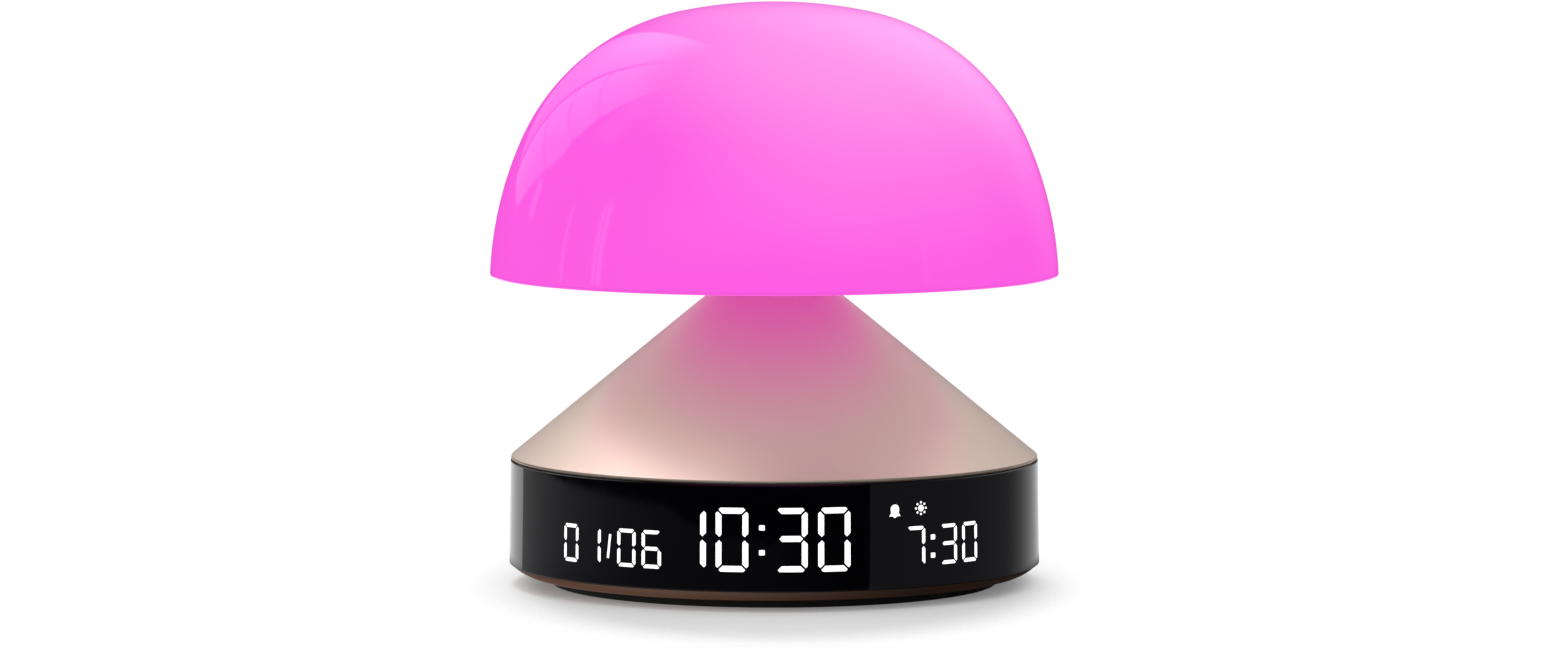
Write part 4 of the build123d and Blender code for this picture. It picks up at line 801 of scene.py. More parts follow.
# The finishes of the frame's slots, and three that only finished pieces have: a function that makes the
# material, or what grained() makes it from.
FINISHES = {
    "lit_magenta": lit_opal,
    "underside": lit_underside,
    "champagne_metal": champagne_metal,
    "rose_gold": rose_gold,
    "piano_black": piano_black,
    "lit_white": lit_window,
    "foot_rubber": rubber,
    "circuit_green": circuit_board,
    "led_body": lamp_package,
    "ribbon_white": ribbon,
    "speaker_paper": speaker_paper,
    "button_black": dict(name="Satin black cap", colour=(0.010, 0.010, 0.011), roughness=0.30, size=0.0003,
                         depth=0.000006, tone=0.2, worn=(0.035, 0.035, 0.037)),
    "white_plastic": dict(name="Moulded white plastic", colour=(0.76, 0.76, 0.74), roughness=0.48,
                          size=0.0005, depth=0.00001, tone=0.04),
    "black_plastic": dict(name="Moulded black plastic", colour=(0.016, 0.016, 0.017), roughness=0.5,
                          size=0.0004, depth=0.00002, tone=0.2, worn=(0.045, 0.045, 0.046)),
    "white_board": dict(name="White lamp board", colour=(0.80, 0.80, 0.78), roughness=0.35, size=0.0006,
                        depth=0.000008, tone=0.05, worn=(0.55, 0.50, 0.40)),
    "spring_steel": dict(name="Drawn spring wire", colour=(0.55, 0.55, 0.56), roughness=0.28, size=0.00025,
                         depth=0.000006, tone=0.12, spread=0.08, marks=0.004, soil=(0.30, 0.28, 0.25),
                         soil_share=0.5, Metallic=1.0),
    "switch_black": dict(name="Switch plastic", colour=(0.020, 0.020, 0.022), roughness=0.42, size=0.0003,
                         depth=0.00001, tone=0.15, worn=(0.06, 0.06, 0.06)),
    "plain_aluminium": dict(name="Stamped aluminium", colour=(0.80, 0.80, 0.81), roughness=0.38, size=0.0004,
                            depth=0.00001, tone=0.06, worn=(0.92, 0.92, 0.93), Metallic=1.0),
    "wire_red": dict(name="Wire insulation", colour=(0.42, 0.012, 0.010), roughness=0.42, size=0.0006,
                     depth=0.000008, tone=0.1, Coat_Weight=0.2),
    "chip_black": dict(name="Chip package", colour=(0.018, 0.018, 0.020), roughness=0.62, size=0.00025,
                       depth=0.00001, tone=0.25, worn=(0.07, 0.07, 0.07)),
    "capacitor_can": dict(name="Capacitor sleeve", colour=(0.03, 0.045, 0.12), roughness=0.30, size=0.0005,
                          depth=0.000005, worn=(0.55, 0.56, 0.58), Coat_Weight=0.4),
    "plated_steel": dict(name="Plated steel", colour=(0.66, 0.65, 0.62), roughness=0.24, size=0.0005,
                         depth=0.000004, tone=0.06, worn=(0.80, 0.79, 0.76), Metallic=1.0),
    "contact_gold": dict(name="Contact gold", colour=(0.86, 0.60, 0.22), roughness=0.22, size=0.0001,
                         depth=0.000002, worn=(0.55, 0.50, 0.42), wear=0.00003, Metallic=1.0),
    "symbol_white": dict(name="Button symbol print", colour=(0.72, 0.72, 0.70), roughness=0.5, size=0.00015,
                         depth=0.000004, tone=0.06, worn=(0.50, 0.50, 0.48), wear=0.00004),
}
made_finishes = {}


def finish(name):
    """The material of a finish, made once."""
    if name not in made_finishes:
        recipe = FINISHES[name]
        made_finishes[name] = grained(**recipe)[0] if isinstance(recipe, dict) else recipe()
    return made_finishes[name]


# ---- The display's figures, as outlines round the middle of the figure ----
def mirrored(corners):
    """Corners with left and right swapped."""
    return [(-x, y) for x, y in corners]


def vertical_bar(width, half, stroke, middle):
    """Corners of a left upright bar that runs from the figure's middle up to its top."""
    left = -width / 2
    tip = stroke * TIP
    end = half - stroke * END_GAP
    start = middle + stroke * MIDDLE_GAP / 2
    return [(left + tip, end - tip), (left + stroke, end - stroke),
            (left + stroke, start + stroke * (1 - WAIST)), (left + stroke * WAIST, start),
            (left, start + stroke * WAIST), (left, end - 2 * tip)]


def level_bar(width, half, stroke):
    """Corners of the bar along the figure's top."""
    tip = stroke * TIP
    reach = width / 2 - stroke * SIDE_GAP
    right = [(reach - 2 * tip, half), (reach - tip, half - tip), (reach - stroke, half - stroke)]
    return right + mirrored(reversed(right))


def middle_bar(width, stroke, middle):
    """Corners of the bar across the figure's middle."""
    reach = width / 2 - stroke * (WAIST + SIDE_GAP)
    shoulder = reach - stroke / 2
    right = [(shoulder, middle + stroke / 2), (reach, middle), (shoulder, middle - stroke / 2)]
    return right + mirrored(reversed(right))


def segment_corners(width, height, stroke):
    """Corners of the seven segments, a to g."""
    half = height / 2
    middle = height * MIDDLE_RISE
    upper = vertical_bar(width, half, stroke, middle)
    lower = [(x, -y) for x, y in vertical_bar(width, half, stroke, -middle)]
    top = level_bar(width, half, stroke)
    bottom = [(x, -y) for x, y in top]
    return {"a": top, "b": mirrored(upper), "c": mirrored(lower), "d": bottom, "e": lower, "f": upper,
            "g": middle_bar(width, stroke, middle)}


def figures(cells, figure, height):
    """Angle, height and outlines of each figure in a row."""
    corners = segment_corners(*figure)
    size = figure[2] * CORNER
    shapes = {segment: rounded(with_corner(points, size), SIGN_ROUND_STEPS)
              for segment, points in corners.items()}
    return [(angle, height, [shapes[segment] for segment in LIT[character]]) for character, angle in cells]


def colon(angle, dot, heights):
    """A colon of two square dots."""
    middle = sum(heights) / 2
    return angle, middle, [bar((0, height - middle), dot, DOT_CORNER) for height in heights]


def bell_outline():
    """A bell with a flared skirt and a clapper."""
    crown = arc((0, CROWN_RISE), BELL_R, 0, 180, CROWN_STEPS)
    rim = (BELL_SKIRT / 2, RIM_RISE)
    clapper_half = math.sqrt(BELL_CLAPPER_R ** 2 - (CLAPPER_RISE - RIM_RISE) ** 2)
    lean = math.degrees(math.atan2(RIM_RISE - CLAPPER_RISE, clapper_half))
    clapper = arc((0, CLAPPER_RISE), BELL_CLAPPER_R, -180 - lean, lean, CLAPPER_STEPS)
    return (crown + [(-BELL_WAIST_R, WAIST_RISE), (-rim[0], rim[1])] + clapper
            + [rim, (BELL_WAIST_R, WAIST_RISE)])


def sun_outlines(disc_r, ray_r, ring_r):
    """A sun with round rays."""
    rays = [circle((ring_r * math.cos(turn), ring_r * math.sin(turn)), ray_r, RAY_STEPS)
            for turn in (2 * math.pi * ray / RAYS for ray in range(RAYS))]
    return [circle((0, 0), disc_r)] + rays


def window_signs():
    """The signs of each window node."""
    slash = bar((0, 0), SLASH_SIZE, SLASH_CORNER, -SLASH_TILT)
    return {
        "time_digits": (figures(TIME_CELLS, TIME_FIGURE, TIME_HEIGHT)
                        + [colon(TIME_CENTRE, TIME_DOT, TIME_DOT_HEIGHTS)]),
        "date_digits": figures(DATE_CELLS, DATE_FIGURE, DATE_HEIGHT) + [(SLASH_ANGLE, SLASH_HEIGHT, [slash])],
        "alarm_digits": (figures(ALARM_CELLS, ALARM_FIGURE, ALARM_HEIGHT)
                         + [colon(ALARM_COLON, ALARM_DOT, ALARM_DOT_HEIGHTS)]),
        "alarm_icons": [(BELL_ANGLE, BELL_HEIGHT, [bell_outline()]),
                        (SUN_ANGLE, SUN_HEIGHT, sun_outlines(SUN_R, RAY_R, RAY_RING_R))],
    }


def band_radius(height):
    """Outer radius of the tapered band at a height."""
    share = (height - BAND_LOW) / (BAND_HIGH - BAND_LOW)
    return BAND_LOW_R + share * (BAND_HIGH_R - BAND_LOW_R)


def on_band(angle, height):
    """A function that lays a flat (x, y, z) on the band's face, with z outward."""
    place = facing(angle, height)

    def lay(x, y, z):
        out = math.sqrt(band_radius(height + y) ** 2 - x ** 2)
        return place @ Vector((x, y, out + z))

    return lay


# ---- Profiles of the turned pieces ----
def dome_arcs():
    """Centre, radius, first and last lean of the shade's side, shoulder and crown, which meet smoothly."""
    arcs = []
    radius, height, start = DOME_R, DOME_RIM, RIM_LEAN
    for size, end in ((SIDE_ARC, SIDE_LEAN), (SHOULDER_ARC, SHOULDER_LEAN)):
        lean = math.radians(start)
        centre = (radius - size * math.cos(lean), height - size * math.sin(lean))
        arcs.append((centre, size, start, end))
        lean = math.radians(end)
        radius, height, start = centre[0] + size * math.cos(lean), centre[1] + size * math.sin(lean), end
    crown = radius / math.cos(math.radians(start))
    arcs.append(((0, height - crown * math.sin(math.radians(start))), crown, start, 90))
    return arcs


def dome_line(inset):
    """Points of the shade's side from rim to crown, drawn in by an inset."""
    points = []
    for (centre, size, start, end), steps in zip(dome_arcs(), DOME_ARC_STEPS):
        points += arc(centre, size - inset, start, end, steps)[:-1]
    centre, size = dome_arcs()[-1][:2]
    return points + [(0.0, centre[1] + size - inset)]


def dome_profile():
    """The shade's wall, with its rounded rim and the ledge for the underside."""
    ledge_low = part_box("underside_diffuser")[1].z
    ledge_high = ledge_low + LEDGE_HEIGHT
    outside = dome_line(0)
    inside = [(radius, height) for radius, height in dome_line(DOME_WALL) if height > ledge_high]
    inner_r = dome_line(DOME_WALL)[0][0]
    corners = with_corner(reversed(outside[1:]), 0)
    corners += [(*outside[0], DOME_RIM_ROUND), (inner_r, DOME_RIM, DOME_RIM_ROUND), (inner_r, ledge_low, 0),
                (LEDGE_INNER_R, ledge_low, LEDGE_EDGE), (LEDGE_INNER_R, ledge_high, LEDGE_EDGE),
                (inside[0][0], ledge_high, 0)]
    return rounded(corners + with_corner(inside, 0))


def grooved(radii, height, width, depth):
    """Corners of shallow grooves in a flat underside, from the inside out."""
    corners = []
    for radius in radii:
        for across, rise in GROOVE_SECTION:
            corners.append((radius + across * width, height + rise * depth, depth * GROOVE_ROUND))
    return corners


def underside_profile():
    """The flat ring that closes the shade, with two shallow grooves in its face."""
    low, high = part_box("underside_diffuser")
    inner, edge = UNDERSIDE_HOLE_R, UNDERSIDE_EDGE
    corners = [(high.x, low.z, edge), (high.x, high.z, edge), (inner, high.z, edge), (inner, low.z, edge)]
    return rounded(corners + grooved(UNDERSIDE_GROOVES, low.z, GROOVE_WIDTH, GROOVE_DEPTH))


def cone_inner_height(radius):
    """Height of the cone's inner face at a radius."""
    slope = (CONE_TOP - CONE_FOOT_TOP) / (CONE_FOOT_R - CONE_TOP_R)
    return CONE_FOOT_TOP + (CONE_FOOT_R - radius) * slope - CONE_WALL * math.hypot(1, slope)


def cone_profile():
    """The cone's wall, with its rounded lip and top edge and the locating ring inside its foot."""
    edge = CONE_TOP_EDGE
    ring_top = cone_inner_height(CONE_RING_INNER_R)
    return rounded([
        (CONE_LIP_R, CONE_LIP_LOW, CONE_LIP_ROUND), (CONE_FOOT_R, CONE_FOOT_TOP, CONE_LIP_ROUND),
        (CONE_TOP_R, CONE_TOP, edge), (CONE_OPENING_R, CONE_TOP, edge),
        (CONE_OPENING_R, cone_inner_height(CONE_OPENING_R), edge / 2), (CONE_RING_INNER_R, ring_top, 0),
        (CONE_RING_INNER_R, CONE_RING_LOW, SMALL_EDGE), (CONE_RING_OUTER_R, CONE_RING_LOW, SMALL_EDGE),
        (CONE_RING_OUTER_R, CONE_LIP_LOW, 0)])


def post_profile():
    """One of the cone's screw posts, which ends inside the cone's wall."""
    top = cone_inner_height(CONE_POST_RING_R - CONE_POST_R) + CONE_POST_SINK
    low_top = cone_inner_height(CONE_POST_RING_R + CONE_POST_R) + CONE_POST_SINK
    return rounded([
        (CONE_POST_R, CONE_RING_LOW, SMALL_EDGE), (CONE_POST_R, low_top, 0),
        (0, min(top, low_top + CONE_WALL), 0), (0, CONE_POST_BORE_TOP, 0),
        (CONE_POST_BORE_R, CONE_POST_BORE_TOP, 0), (CONE_POST_BORE_R, CONE_RING_LOW, SMALL_EDGE)])


def foot_profile():
    """The rubber foot, with grooves in its sole."""
    edge = FOOT_EDGE
    count = settings().foot.grooves
    pitch = (FOOT_OUTER_R - FOOT_INNER_R) / (count + 1)
    radii = [FOOT_INNER_R + pitch * (number + 1) for number in range(count)]
    corners = [(FOOT_OUTER_R, 0, edge), (FOOT_OUTER_R, FOOT_TOP, 0), (FOOT_INNER_R, FOOT_TOP, 0),
               (FOOT_INNER_R, 0, edge)]
    return rounded(corners + grooved(radii, 0, FOOT_GROOVE_WIDTH, FOOT_GROOVE_DEPTH))


def cap_profile(dish):
    """A button from the end of its stem out to its dished face."""
    floor = BUTTON_FACE - dish
    return rounded([
        (0, BUTTON_STEM_END, 0), (BUTTON_STEM_R, BUTTON_STEM_END, SMALL_EDGE),
        (BUTTON_STEM_R, BUTTON_FLANGE_BACK, 0), (BUTTON_FLANGE_R, BUTTON_FLANGE_BACK, SMALL_EDGE),
        (BUTTON_FLANGE_R, BUTTON_FLANGE_FACE, SMALL_EDGE), (BUTTON_R, BUTTON_FLANGE_FACE, 0),
        (BUTTON_R, BUTTON_FACE, BUTTON_EDGE), (DISH_RIM_R, BUTTON_FACE, SMALL_EDGE),
        (DISH_FLOOR_R, floor, DISH_ROUND), (0, floor, 0)])


def button_symbols():
    """Outlines of each button's symbol, one unit high."""
    sun = sun_outlines(*SYMBOL_SUN)
    half_lit = [arc((0, 0), HALF_DISC[1], 90, 270, RAY_STEPS), arc_band(*HALF_DISC, -90, 90)]
    note, volume, hands = ([bar(*one) for one in bars] for bars in (NOTE_BARS, VOLUME_BARS, CLOCK_HANDS))
    return {
        "light_button": sun,
        "dimmer_button": half_lit + sun[1:],
        "sound_button": note,
        "volume_button": volume,
        "alarm_button": [[(x / BELL_SKIRT, y / BELL_SKIRT) for x, y in bell_outline()]],
        "clock_button": [arc_band(*CLOCK_RIM, 0, 180), arc_band(*CLOCK_RIM, 180, 360)] + hands,
    }


# ---- Pieces ----
def make_turned(name, profile, look, body, slot, node):
    """A piece turned about the clock's axis, with its look, on its body and in the place of a node."""
    mesh = bmesh.new()
    add_turned(mesh, profile)
    return fit(finish_mesh(name, mesh, finish(look)), body, slot, node)


def make_cone():
    """The metal cone with its screw posts."""
    mesh = bmesh.new()
    add_turned(mesh, cone_profile())
    for angle in CONE_POST_ANGLES:
        place = Matrix.Translation((*polar(CONE_POST_RING_R, angle), 0))
        add_turned(mesh, post_profile(), SMALL_TURN_STEPS, place)
    piece = finish_mesh("satin_cone", mesh, finish("champagne_metal"))
    return fit(piece, "base", "champagne_metal", "cone_shell")


def make_window(node, signs):
    """The lit windows of one node, flush with the band."""
    mesh = bmesh.new()
    for angle, height, outlines in signs:
        for outline in outlines:
            add_prism(mesh, outline, WINDOW_SINK, on_band(angle, height), WINDOW_SLICE)
    fit(finish_mesh(f"lit_{node}", mesh, finish("lit_white")), "base", "lit_white", node)


def make_button(node, angle, outlines):
    """One dished cap and the symbol on it."""
    chosen = settings().buttons
    place = facing(REAR + angle, BUTTON_Z)
    mesh = bmesh.new()
    add_turned(mesh, cap_profile(chosen.dish), SMALL_TURN_STEPS, place)
    fit(finish_mesh(f"{node}_cap", mesh, finish("button_black")), node, "button_black", node)
    mesh = bmesh.new()
    face = BUTTON_FACE - chosen.dish + chosen.relief
    for outline in outlines:
        sized = [(x * chosen.symbol_size, y * chosen.symbol_size) for x, y in outline]
        add_prism(mesh, sized, 2 * chosen.relief, lambda x, y, z: place @ Vector((x, y, face + z)))
    fit(finish_mesh(f"{node}_symbol", mesh, finish("symbol_white")), node, None)


def make_contacts():
    """Gold strips on both faces of the socket's tongue."""
    low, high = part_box("usb_c_tongue")
    width, length, wall = CONTACT_SIZE
    centre_y = high.y - CONTACT_SETBACK - length / 2
    outline = bar((0, 0), (width, length), CONTACT_EDGE)
    mesh = bmesh.new()
    for number in range(CONTACTS):
        x = (number - (CONTACTS - 1) / 2) * CONTACT_PITCH
        for face, out in ((high.z, 1), (low.z, -1)):
            add_prism(mesh, outline, 2 * wall,
                      lambda a, b, c: Vector((x + a, centre_y + b, face + out * (wall + c))))
    fit(finish_mesh("socket_contacts", mesh, finish("contact_gold")), "base", None)


def spring_height(turn):
    """Height of the spring's wire after some turns, close-wound at both ends."""
    low = SPRING_SEAT + SPRING_END_GAP + SPRING_WIRE_R
    high = SPRING_POCKET_TOP - SPRING_END_GAP - SPRING_WIRE_R
    dead = SPRING_DEAD_TURNS * SPRING_DEAD_PITCH
    if turn <= SPRING_DEAD_TURNS:
        return low + turn * SPRING_DEAD_PITCH
    if turn >= SPRING_DEAD_TURNS + SPRING_TURNS:
        return high - (2 * SPRING_DEAD_TURNS + SPRING_TURNS - turn) * SPRING_DEAD_PITCH
    share = (turn - SPRING_DEAD_TURNS) / SPRING_TURNS
    return low + dead + share * (high - low - 2 * dead)


def make_spring():
    """The return spring at rest, which on the real clock shortens as the head is pressed."""
    mesh = bmesh.new()
    steps = round((SPRING_TURNS + 2 * SPRING_DEAD_TURNS) * SPRING_TURN_STEPS)
    rings = []
    for step in range(steps + 1):
        turn = step / SPRING_TURN_STEPS
        place = Matrix.Translation((0, 0, spring_height(turn))) @ Matrix.Rotation(2 * math.pi * turn, 4, "Z")
        section = circle((SPRING_R, 0), SPRING_WIRE_R, SPRING_WIRE_STEPS)
        rings.append([mesh.verts.new(place @ Vector((x, 0, z))) for x, z in section])
    for first, second in zip(rings, rings[1:]):
        for corner in range(SPRING_WIRE_STEPS):
            after = (corner + 1) % SPRING_WIRE_STEPS
            mesh.faces.new([first[corner], first[after], second[after], second[corner]])
    for end in (rings[0], rings[-1]):
        mesh.faces.new(end)
    piece = finish_mesh("return_spring", mesh, finish("spring_steel"))
    fit(piece, "base", "spring_steel", "head_spring")
    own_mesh(piece)


def dress_nodes():
    """Gives every node of the frame that stays in view the material of its slot."""
    slots = {part["node"]: part["material_slot"] for part in frame["record"]["subparts"]}
    for name, node in frame["nodes"].items():
        if not node.hide_render:
            node.material_slots[0].material = finish(slots[name])


# ---- Stage ----
def make_camera():
    """The camera, in front of the clock and a little above it."""
    stage = settings().stage
    data = bpy.data.cameras.new("Clock camera")
    data.lens = stage.lens
    data.sensor_width = SENSOR_WIDTH
    data.shift_x = stage.shift
    camera = bpy.data.objects.new("Clock camera", data)
    camera.location = (0, -stage.distance, stage.height)
    camera.rotation_euler = (math.pi / 2 - stage.tilt, 0, 0)
    bpy.context.scene.collection.objects.link(camera)
    bpy.context.scene.camera = camera


def make_lamp(name, place, size, power):
    """A large round soft lamp that points at the clock."""
    data = bpy.data.lights.new(name, "AREA")
    data.shape = "DISK"
    data.size = size
    data.energy = power
    lamp = bpy.data.objects.new(name, data)
    lamp.location = place
    lamp.rotation_euler = (LAMP_TARGET - lamp.location).to_track_quat("-Z", "Y").to_euler()
    lamp.visible_camera = False
    bpy.context.scene.collection.objects.link(lamp)
    return lamp


def between(tree, share, first, second):
    """Value between two others, the first at a share of 0 and the second at 1."""
    return calculate(tree, "MULTIPLY_ADD", share, calculate(tree, "SUBTRACT", second, first), first)


def panel_mask(tree, azimuth, elevation, first, last, low, high, edge):
    """Mask of a soft-edged panel between two azimuths and two elevations."""
    mask = 1.0
    for value, limit, soft in ((azimuth, first, edge), (azimuth, last, -edge),
                               (elevation, low, edge), (elevation, high, -edge)):
        inside = ramp(tree, calculate(tree, "SUBTRACT", value, limit), -soft, soft)
        mask = calculate(tree, "MULTIPLY", mask, inside)
    return mask


def window_brightness(tree, azimuth, elevation):
    """Brightness of the leaning window: panes over a slanted sill, brighter upward, one with transoms."""
    slant = calculate(tree, "MULTIPLY_ADD", elevation, WINDOW_LEAN, azimuth)
    slope = calculate(tree, "MULTIPLY_ADD", azimuth, -SILL_SLOPE, SILL_START)
    sill = calculate(tree, "MAXIMUM", slope, WINDOW_FOOT)
    bars = 1.0
    for transom in TRANSOMS:
        on_bar = calculate(tree, "COMPARE", elevation, transom, TRANSOM_HALF)
        bars = calculate(tree, "MULTIPLY_ADD", on_bar, -TRANSOM_SHADE, bars)
    total = 0.0
    for (first, last, low_share, light), crossed in zip(WINDOW_PANES, (bars, 1.0)):
        mask = panel_mask(tree, slant, elevation, first, last, sill, ZENITH, WINDOW_EDGE)
        rise = ramp(tree, elevation, WINDOW_FOOT, WINDOW_FULL, low_share * light, light)
        lit = calculate(tree, "MULTIPLY", calculate(tree, "MULTIPLY", mask, rise), crossed)
        total = calculate(tree, "ADD", total, lit)
    return calculate(tree, "MULTIPLY", total, ramp(tree, elevation, WINDOW_TOP, WINDOW_FADE))


def studio_brightness(tree):
    """Brightness of the studio in every direction: window, panels, box above and soft light in front."""
    way = add_node(tree, "ShaderNodeTexCoord").outputs["Generated"]
    parts = split(tree, way)
    to_degrees = math.degrees(1.0)
    azimuth = calculate(tree, "MULTIPLY", calculate(tree, "ARCTAN2", parts["X"], parts["Y"]), to_degrees)
    elevation = calculate(tree, "MULTIPLY", calculate(tree, "ARCSINE", parts["Z"]), to_degrees)
    total = calculate(tree, "ADD", window_brightness(tree, azimuth, elevation), STUDIO_DARK)
    for *limits, light in PANELS:
        mask = panel_mask(tree, azimuth, elevation, *limits)
        total = calculate(tree, "MULTIPLY_ADD", mask, light, total)
    turn, rise = (math.radians(angle) for angle in BOX_CENTRE)
    centre = (math.sin(turn) * math.cos(rise), math.cos(turn) * math.cos(rise), math.sin(rise))
    likeness = combine(tree, "DOT_PRODUCT", way, centre, output="Value")
    apart = calculate(tree, "MULTIPLY", calculate(tree, "ARCCOSINE", likeness), to_degrees)
    total = calculate(tree, "MULTIPLY_ADD", ramp(tree, apart, *reversed(BOX_SPREAD)), BOX_LIGHT, total)
    forward = calculate(tree, "MULTIPLY", parts["Y"], -1.0)
    front = calculate(tree, "MULTIPLY", ramp(tree, forward, *FRONT_TURN), ramp(tree, elevation, *FRONT_RISE))
    return calculate(tree, "MULTIPLY_ADD", front, FRONT_LIGHT, total)


def light_path(tree):
    """Masks of rays from the camera, and of rays mirrored or let through by a piece."""
    path = add_node(tree, "ShaderNodeLightPath").outputs
    mirrored = calculate(tree, "MAXIMUM", path["Is Glossy Ray"], path["Is Transmission Ray"])
    return path["Is Camera Ray"], mirrored


def make_world():
    """A white room for the camera, the studio for glossy surfaces, and even light for the rest."""
    world = bpy.data.worlds.new("Studio")
    bpy.context.scene.world = world
    world.use_nodes = True
    tree = world.node_tree
    tree.nodes.clear()
    camera_ray, mirrored_ray = light_path(tree)
    unseen = between(tree, mirrored_ray, settings().stage.sky, studio_brightness(tree))
    strength = calculate(tree, "MAXIMUM", camera_ray, unseen)
    background = add_node(tree, "ShaderNodeBackground", {"Color": (1, 1, 1, 1), "Strength": strength})
    add_node(tree, "ShaderNodeOutputWorld", {"Surface": background.outputs["Background"]})


def beyond_line(tree, x, y, line):
    """Mask of the side of a line a * x + b * y = c on which the sum is larger."""
    along_x, along_y, limit = line
    reach = calculate(tree, "MULTIPLY_ADD", x, along_x, calculate(tree, "MULTIPLY", y, along_y))
    return ramp(tree, calculate(tree, "SUBTRACT", reach, limit), -SHEET_EDGE, SHEET_EDGE)


def table_brightness(tree, x, y):
    """Brightness of the table as glossy surfaces see it: dark with a sheen, a pale sheet on each side, and a
    painted shadow close to the clock.
    """
    distance = distance_from_axis(tree)
    turn = calculate(tree, "ARCTAN2", *(calculate(tree, "MULTIPLY", value, -1.0) for value in (y, x)))
    sheen = 0.0
    for first, last, light in TABLE_SHEEN:
        part = ramp(tree, turn, math.radians(first), math.radians(last), light, 0.0)
        sheen = calculate(tree, "ADD", part, sheen)
    ended = calculate(tree, "MAXIMUM", ramp(tree, distance, *SHEEN_REACH), ramp(tree, y, *SHEEN_FRONT))
    table = calculate(tree, "MULTIPLY_ADD", sheen, calculate(tree, "SUBTRACT", 1.0, ended), TABLE_DARK)
    across = calculate(tree, "SUBTRACT", x, RIGHT_SHEET_PIVOT[0])
    along = calculate(tree, "SUBTRACT", y, RIGHT_SHEET_PIVOT[1])
    light = ramp(tree, calculate(tree, "ARCTAN2", across, along),
                 *(math.radians(angle) for angle in RIGHT_SHEET_TURN), *RIGHT_SHEET_LIGHT)
    on_left = calculate(tree, "LESS_THAN", x, 0.0)
    covered = between(tree, on_left, beyond_line(tree, x, y, RIGHT_SHEET_LINE),
                      beyond_line(tree, x, y, LEFT_SHEET_LINE))
    far = between(tree, covered, table, between(tree, on_left, light, LEFT_SHEET_LIGHT))
    # Painted shadow: the table is dimmer close to the clock, where its shadow would fall.
    painted_near_shadow = ramp(tree, x, *NEAR_SIDES, *NEAR_LIGHT)
    return between(tree, ramp(tree, distance, *NEAR_REACH), painted_near_shadow, far)


def mix_shaders(tree, share, first, second):
    """A shader between two others."""
    return add_node(tree, "ShaderNodeMixShader", {0: share, 1: first, 2: second}).outputs["Shader"]


def floor_material():
    """Pale floor that fades out into the white room, and the table that glossy surfaces see in its place."""
    stage = settings().stage
    made, tree, inputs = new_material("Studio floor", Base_Color=rgba(stage.floor_tone), Roughness=0.9,
                                      Specular_IOR_Level=0.0, Emission_Color=(1, 1, 1, 1))
    camera_ray, mirrored_ray = light_path(tree)
    wire(tree, inputs, Emission_Strength=calculate(tree, "MULTIPLY", camera_ray, stage.floor_lift))
    parts = split(tree, place_in_piece(tree))
    x, y = parts["X"], parts["Y"]
    across, along = (calculate(tree, "DIVIDE", value, half) for value, half in zip((x, y), stage.floor_fade))
    squares = calculate(tree, "MULTIPLY_ADD", across, across, calculate(tree, "MULTIPLY", along, along))
    fade = ramp(tree, calculate(tree, "SQRT", squares), FLOOR_FADE_START, 1.0)
    clear = add_node(tree, "ShaderNodeBsdfTransparent").outputs["BSDF"]
    seen = mix_shaders(tree, fade, tree.nodes["Principled BSDF"].outputs["BSDF"], clear)
    table = add_node(tree, "ShaderNodeEmission", {"Strength": table_brightness(tree, x, y)})
    shown = mix_shaders(tree, mirrored_ray, seen, table.outputs["Emission"])
    plug(tree, shown, tree.nodes["Material Output"].inputs["Surface"])
    return made


def make_floor():
    """The floor under the clock."""
    mesh = bmesh.new()
    bmesh.ops.create_circle(mesh, cap_ends=True, segments=TURN_STEPS, radius=TABLE_R)
    floor = finish_mesh("studio_floor", mesh, floor_material())


def light_only(piece, *lamps):
    """Keeps lamps to one piece."""
    lit = bpy.data.collections.new("Lit by the cone lamps")
    lit.objects.link(piece)
    for lamp in lamps:
        bpy.data.objects[lamp].light_linking.receiver_collection = lit


def keep_glow_off_floor(piece):
    """Leaves the floor out of what a glowing piece lights, so that the clock's shadow stays neutral."""
    kept_off = bpy.data.collections.new("Not lit by the shade")
    kept_off.objects.link(bpy.data.objects["studio_floor"])
    kept_off.collection_objects[0].light_linking.link_state = "EXCLUDE"
    piece.light_linking.receiver_collection = kept_off


# ---- Operators ----
class CLOCK_OT_stage(bpy.types.Operator):
    """Make the camera, the lamps, the studio and the floor"""

    bl_idname = "clock.stage"
    bl_label = "Stage"

    def execute(self, context):
        context.scene.view_settings.view_transform = "Standard"
        stage = settings().stage
        make_camera()
        make_lamp("Room lamp", LAMP_PLACE, stage.lamp_size, stage.lamp_power).visible_glossy = False
        for name, (place, power) in CONE_LAMPS.items():
            make_lamp(name, place, CONE_LAMP_SIZE, stage.cone_light * power)
        make_world()
        make_floor()
        return {"FINISHED"}


class CLOCK_OT_dome(bpy.types.Operator):
    """Make the glowing shade"""

    bl_idname = "clock.dome"
    bl_label = "Dome"

    def execute(self, context):
        keep_glow_off_floor(make_turned("opal_dome", dome_profile(), "lit_magenta", "lamp_head",
                                        "lit_magenta", "dome_shade"))
        return {"FINISHED"}


class CLOCK_OT_underside(bpy.types.Operator):
    """Make the glowing underside of the shade"""

    bl_idname = "clock.underside"
    bl_label = "Underside"

    def execute(self, context):
        keep_glow_off_floor(make_turned("opal_underside", underside_profile(), "underside", "lamp_head",
                                        "lit_magenta", "underside_diffuser"))
        return {"FINISHED"}


class CLOCK_OT_cone(bpy.types.Operator):
    """Make the satin metal cone"""

    bl_idname = "clock.cone"
    bl_label = "Cone"

    def execute(self, context):
        light_only(make_cone(), *CONE_LAMPS)
        return {"FINISHED"}


class CLOCK_OT_windows(bpy.types.Operator):
    """Make the lit windows of the display"""

    bl_idname = "clock.windows"
    bl_label = "Display windows"

    def execute(self, context):
        for node, signs in window_signs().items():
            make_window(node, signs)
        return {"FINISHED"}


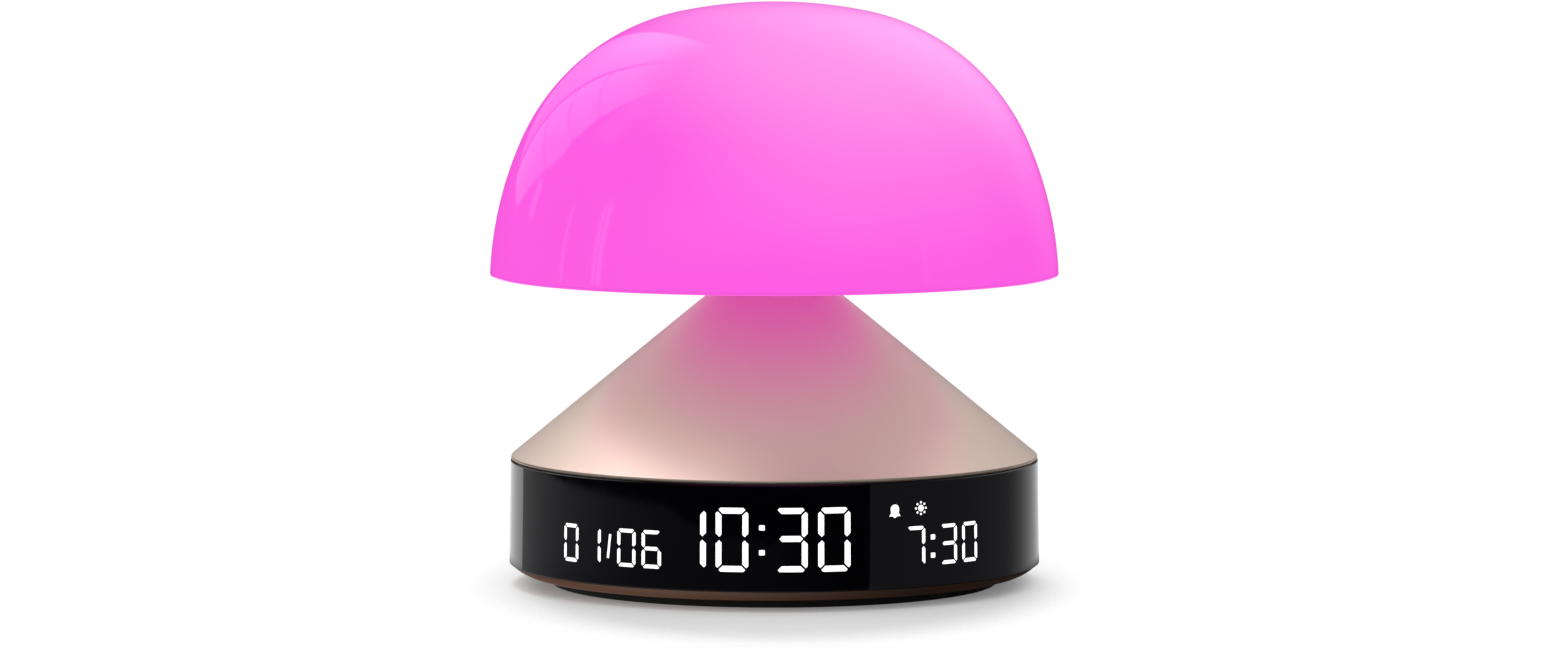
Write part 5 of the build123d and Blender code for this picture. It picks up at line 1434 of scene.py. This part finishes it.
class CLOCK_OT_foot(bpy.types.Operator):
    """Make the rubber foot"""

    bl_idname = "clock.foot"
    bl_label = "Foot"

    def execute(self, context):
        make_turned("ribbed_foot", foot_profile(), "foot_rubber", "base", "foot_rubber", "foot_ring")
        return {"FINISHED"}


class CLOCK_OT_buttons(bpy.types.Operator):
    """Make the dished buttons at the back and their symbols"""

    bl_idname = "clock.buttons"
    bl_label = "Rear buttons"

    def execute(self, context):
        symbols = button_symbols()
        for node, angle in BUTTONS.items():
            make_button(node, angle, symbols[node])
        return {"FINISHED"}


class CLOCK_OT_contacts(bpy.types.Operator):
    """Make the gold contacts of the power socket"""

    bl_idname = "clock.contacts"
    bl_label = "Socket contacts"

    def execute(self, context):
        make_contacts()
        return {"FINISHED"}


class CLOCK_OT_spring(bpy.types.Operator):
    """Make the return spring of the lamp head"""

    bl_idname = "clock.spring"
    bl_label = "Return spring"

    def execute(self, context):
        make_spring()
        return {"FINISHED"}


class CLOCK_OT_finishes(bpy.types.Operator):
    """Give the nodes of the frame their materials"""

    bl_idname = "clock.finishes"
    bl_label = "Finishes of the frame"

    def execute(self, context):
        dress_nodes()
        return {"FINISHED"}


OPERATORS = (CLOCK_OT_stage, CLOCK_OT_dome, CLOCK_OT_underside, CLOCK_OT_cone, CLOCK_OT_windows,
             CLOCK_OT_foot, CLOCK_OT_buttons, CLOCK_OT_contacts, CLOCK_OT_spring, CLOCK_OT_finishes)


class CLOCK_PT_sidebar(bpy.types.Panel):
    """The clock's pieces and settings"""

    bl_label = "Sunrise clock"
    bl_idname = "CLOCK_PT_sidebar"
    bl_space_type = "VIEW_3D"
    bl_region_type = "UI"
    bl_category = "Sunrise clock"

    def draw(self, context):
        for operator in OPERATORS:
            self.layout.operator(operator.bl_idname)
        clock = context.scene.sunrise_clock
        for name in ClockSettings.__annotations__:
            box = self.layout.box()
            part = getattr(clock, name)
            box.label(text=name.capitalize())
            for setting in type(part).__annotations__:
                box.prop(part, setting)


CLASSES = (ShadeSettings, ConeSettings, BandSettings, ButtonSettings, FootSettings, StageSettings,
           ClockSettings, *OPERATORS, CLOCK_PT_sidebar)


def register():
    """Registers the classes and the scene's settings."""
    for one in CLASSES:
        bpy.utils.register_class(one)
    bpy.types.Scene.sunrise_clock = PointerProperty(type=ClockSettings)


def unregister():
    """Takes the settings and the classes away again."""
    del bpy.types.Scene.sunrise_clock
    for one in reversed(CLASSES):
        bpy.utils.unregister_class(one)


def main():
    """Registers the add-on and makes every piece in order."""
    register()
    for operator in OPERATORS:
        getattr(bpy.ops.clock, operator.bl_idname.split(".")[1])()


if __name__ == "__main__":
    main()
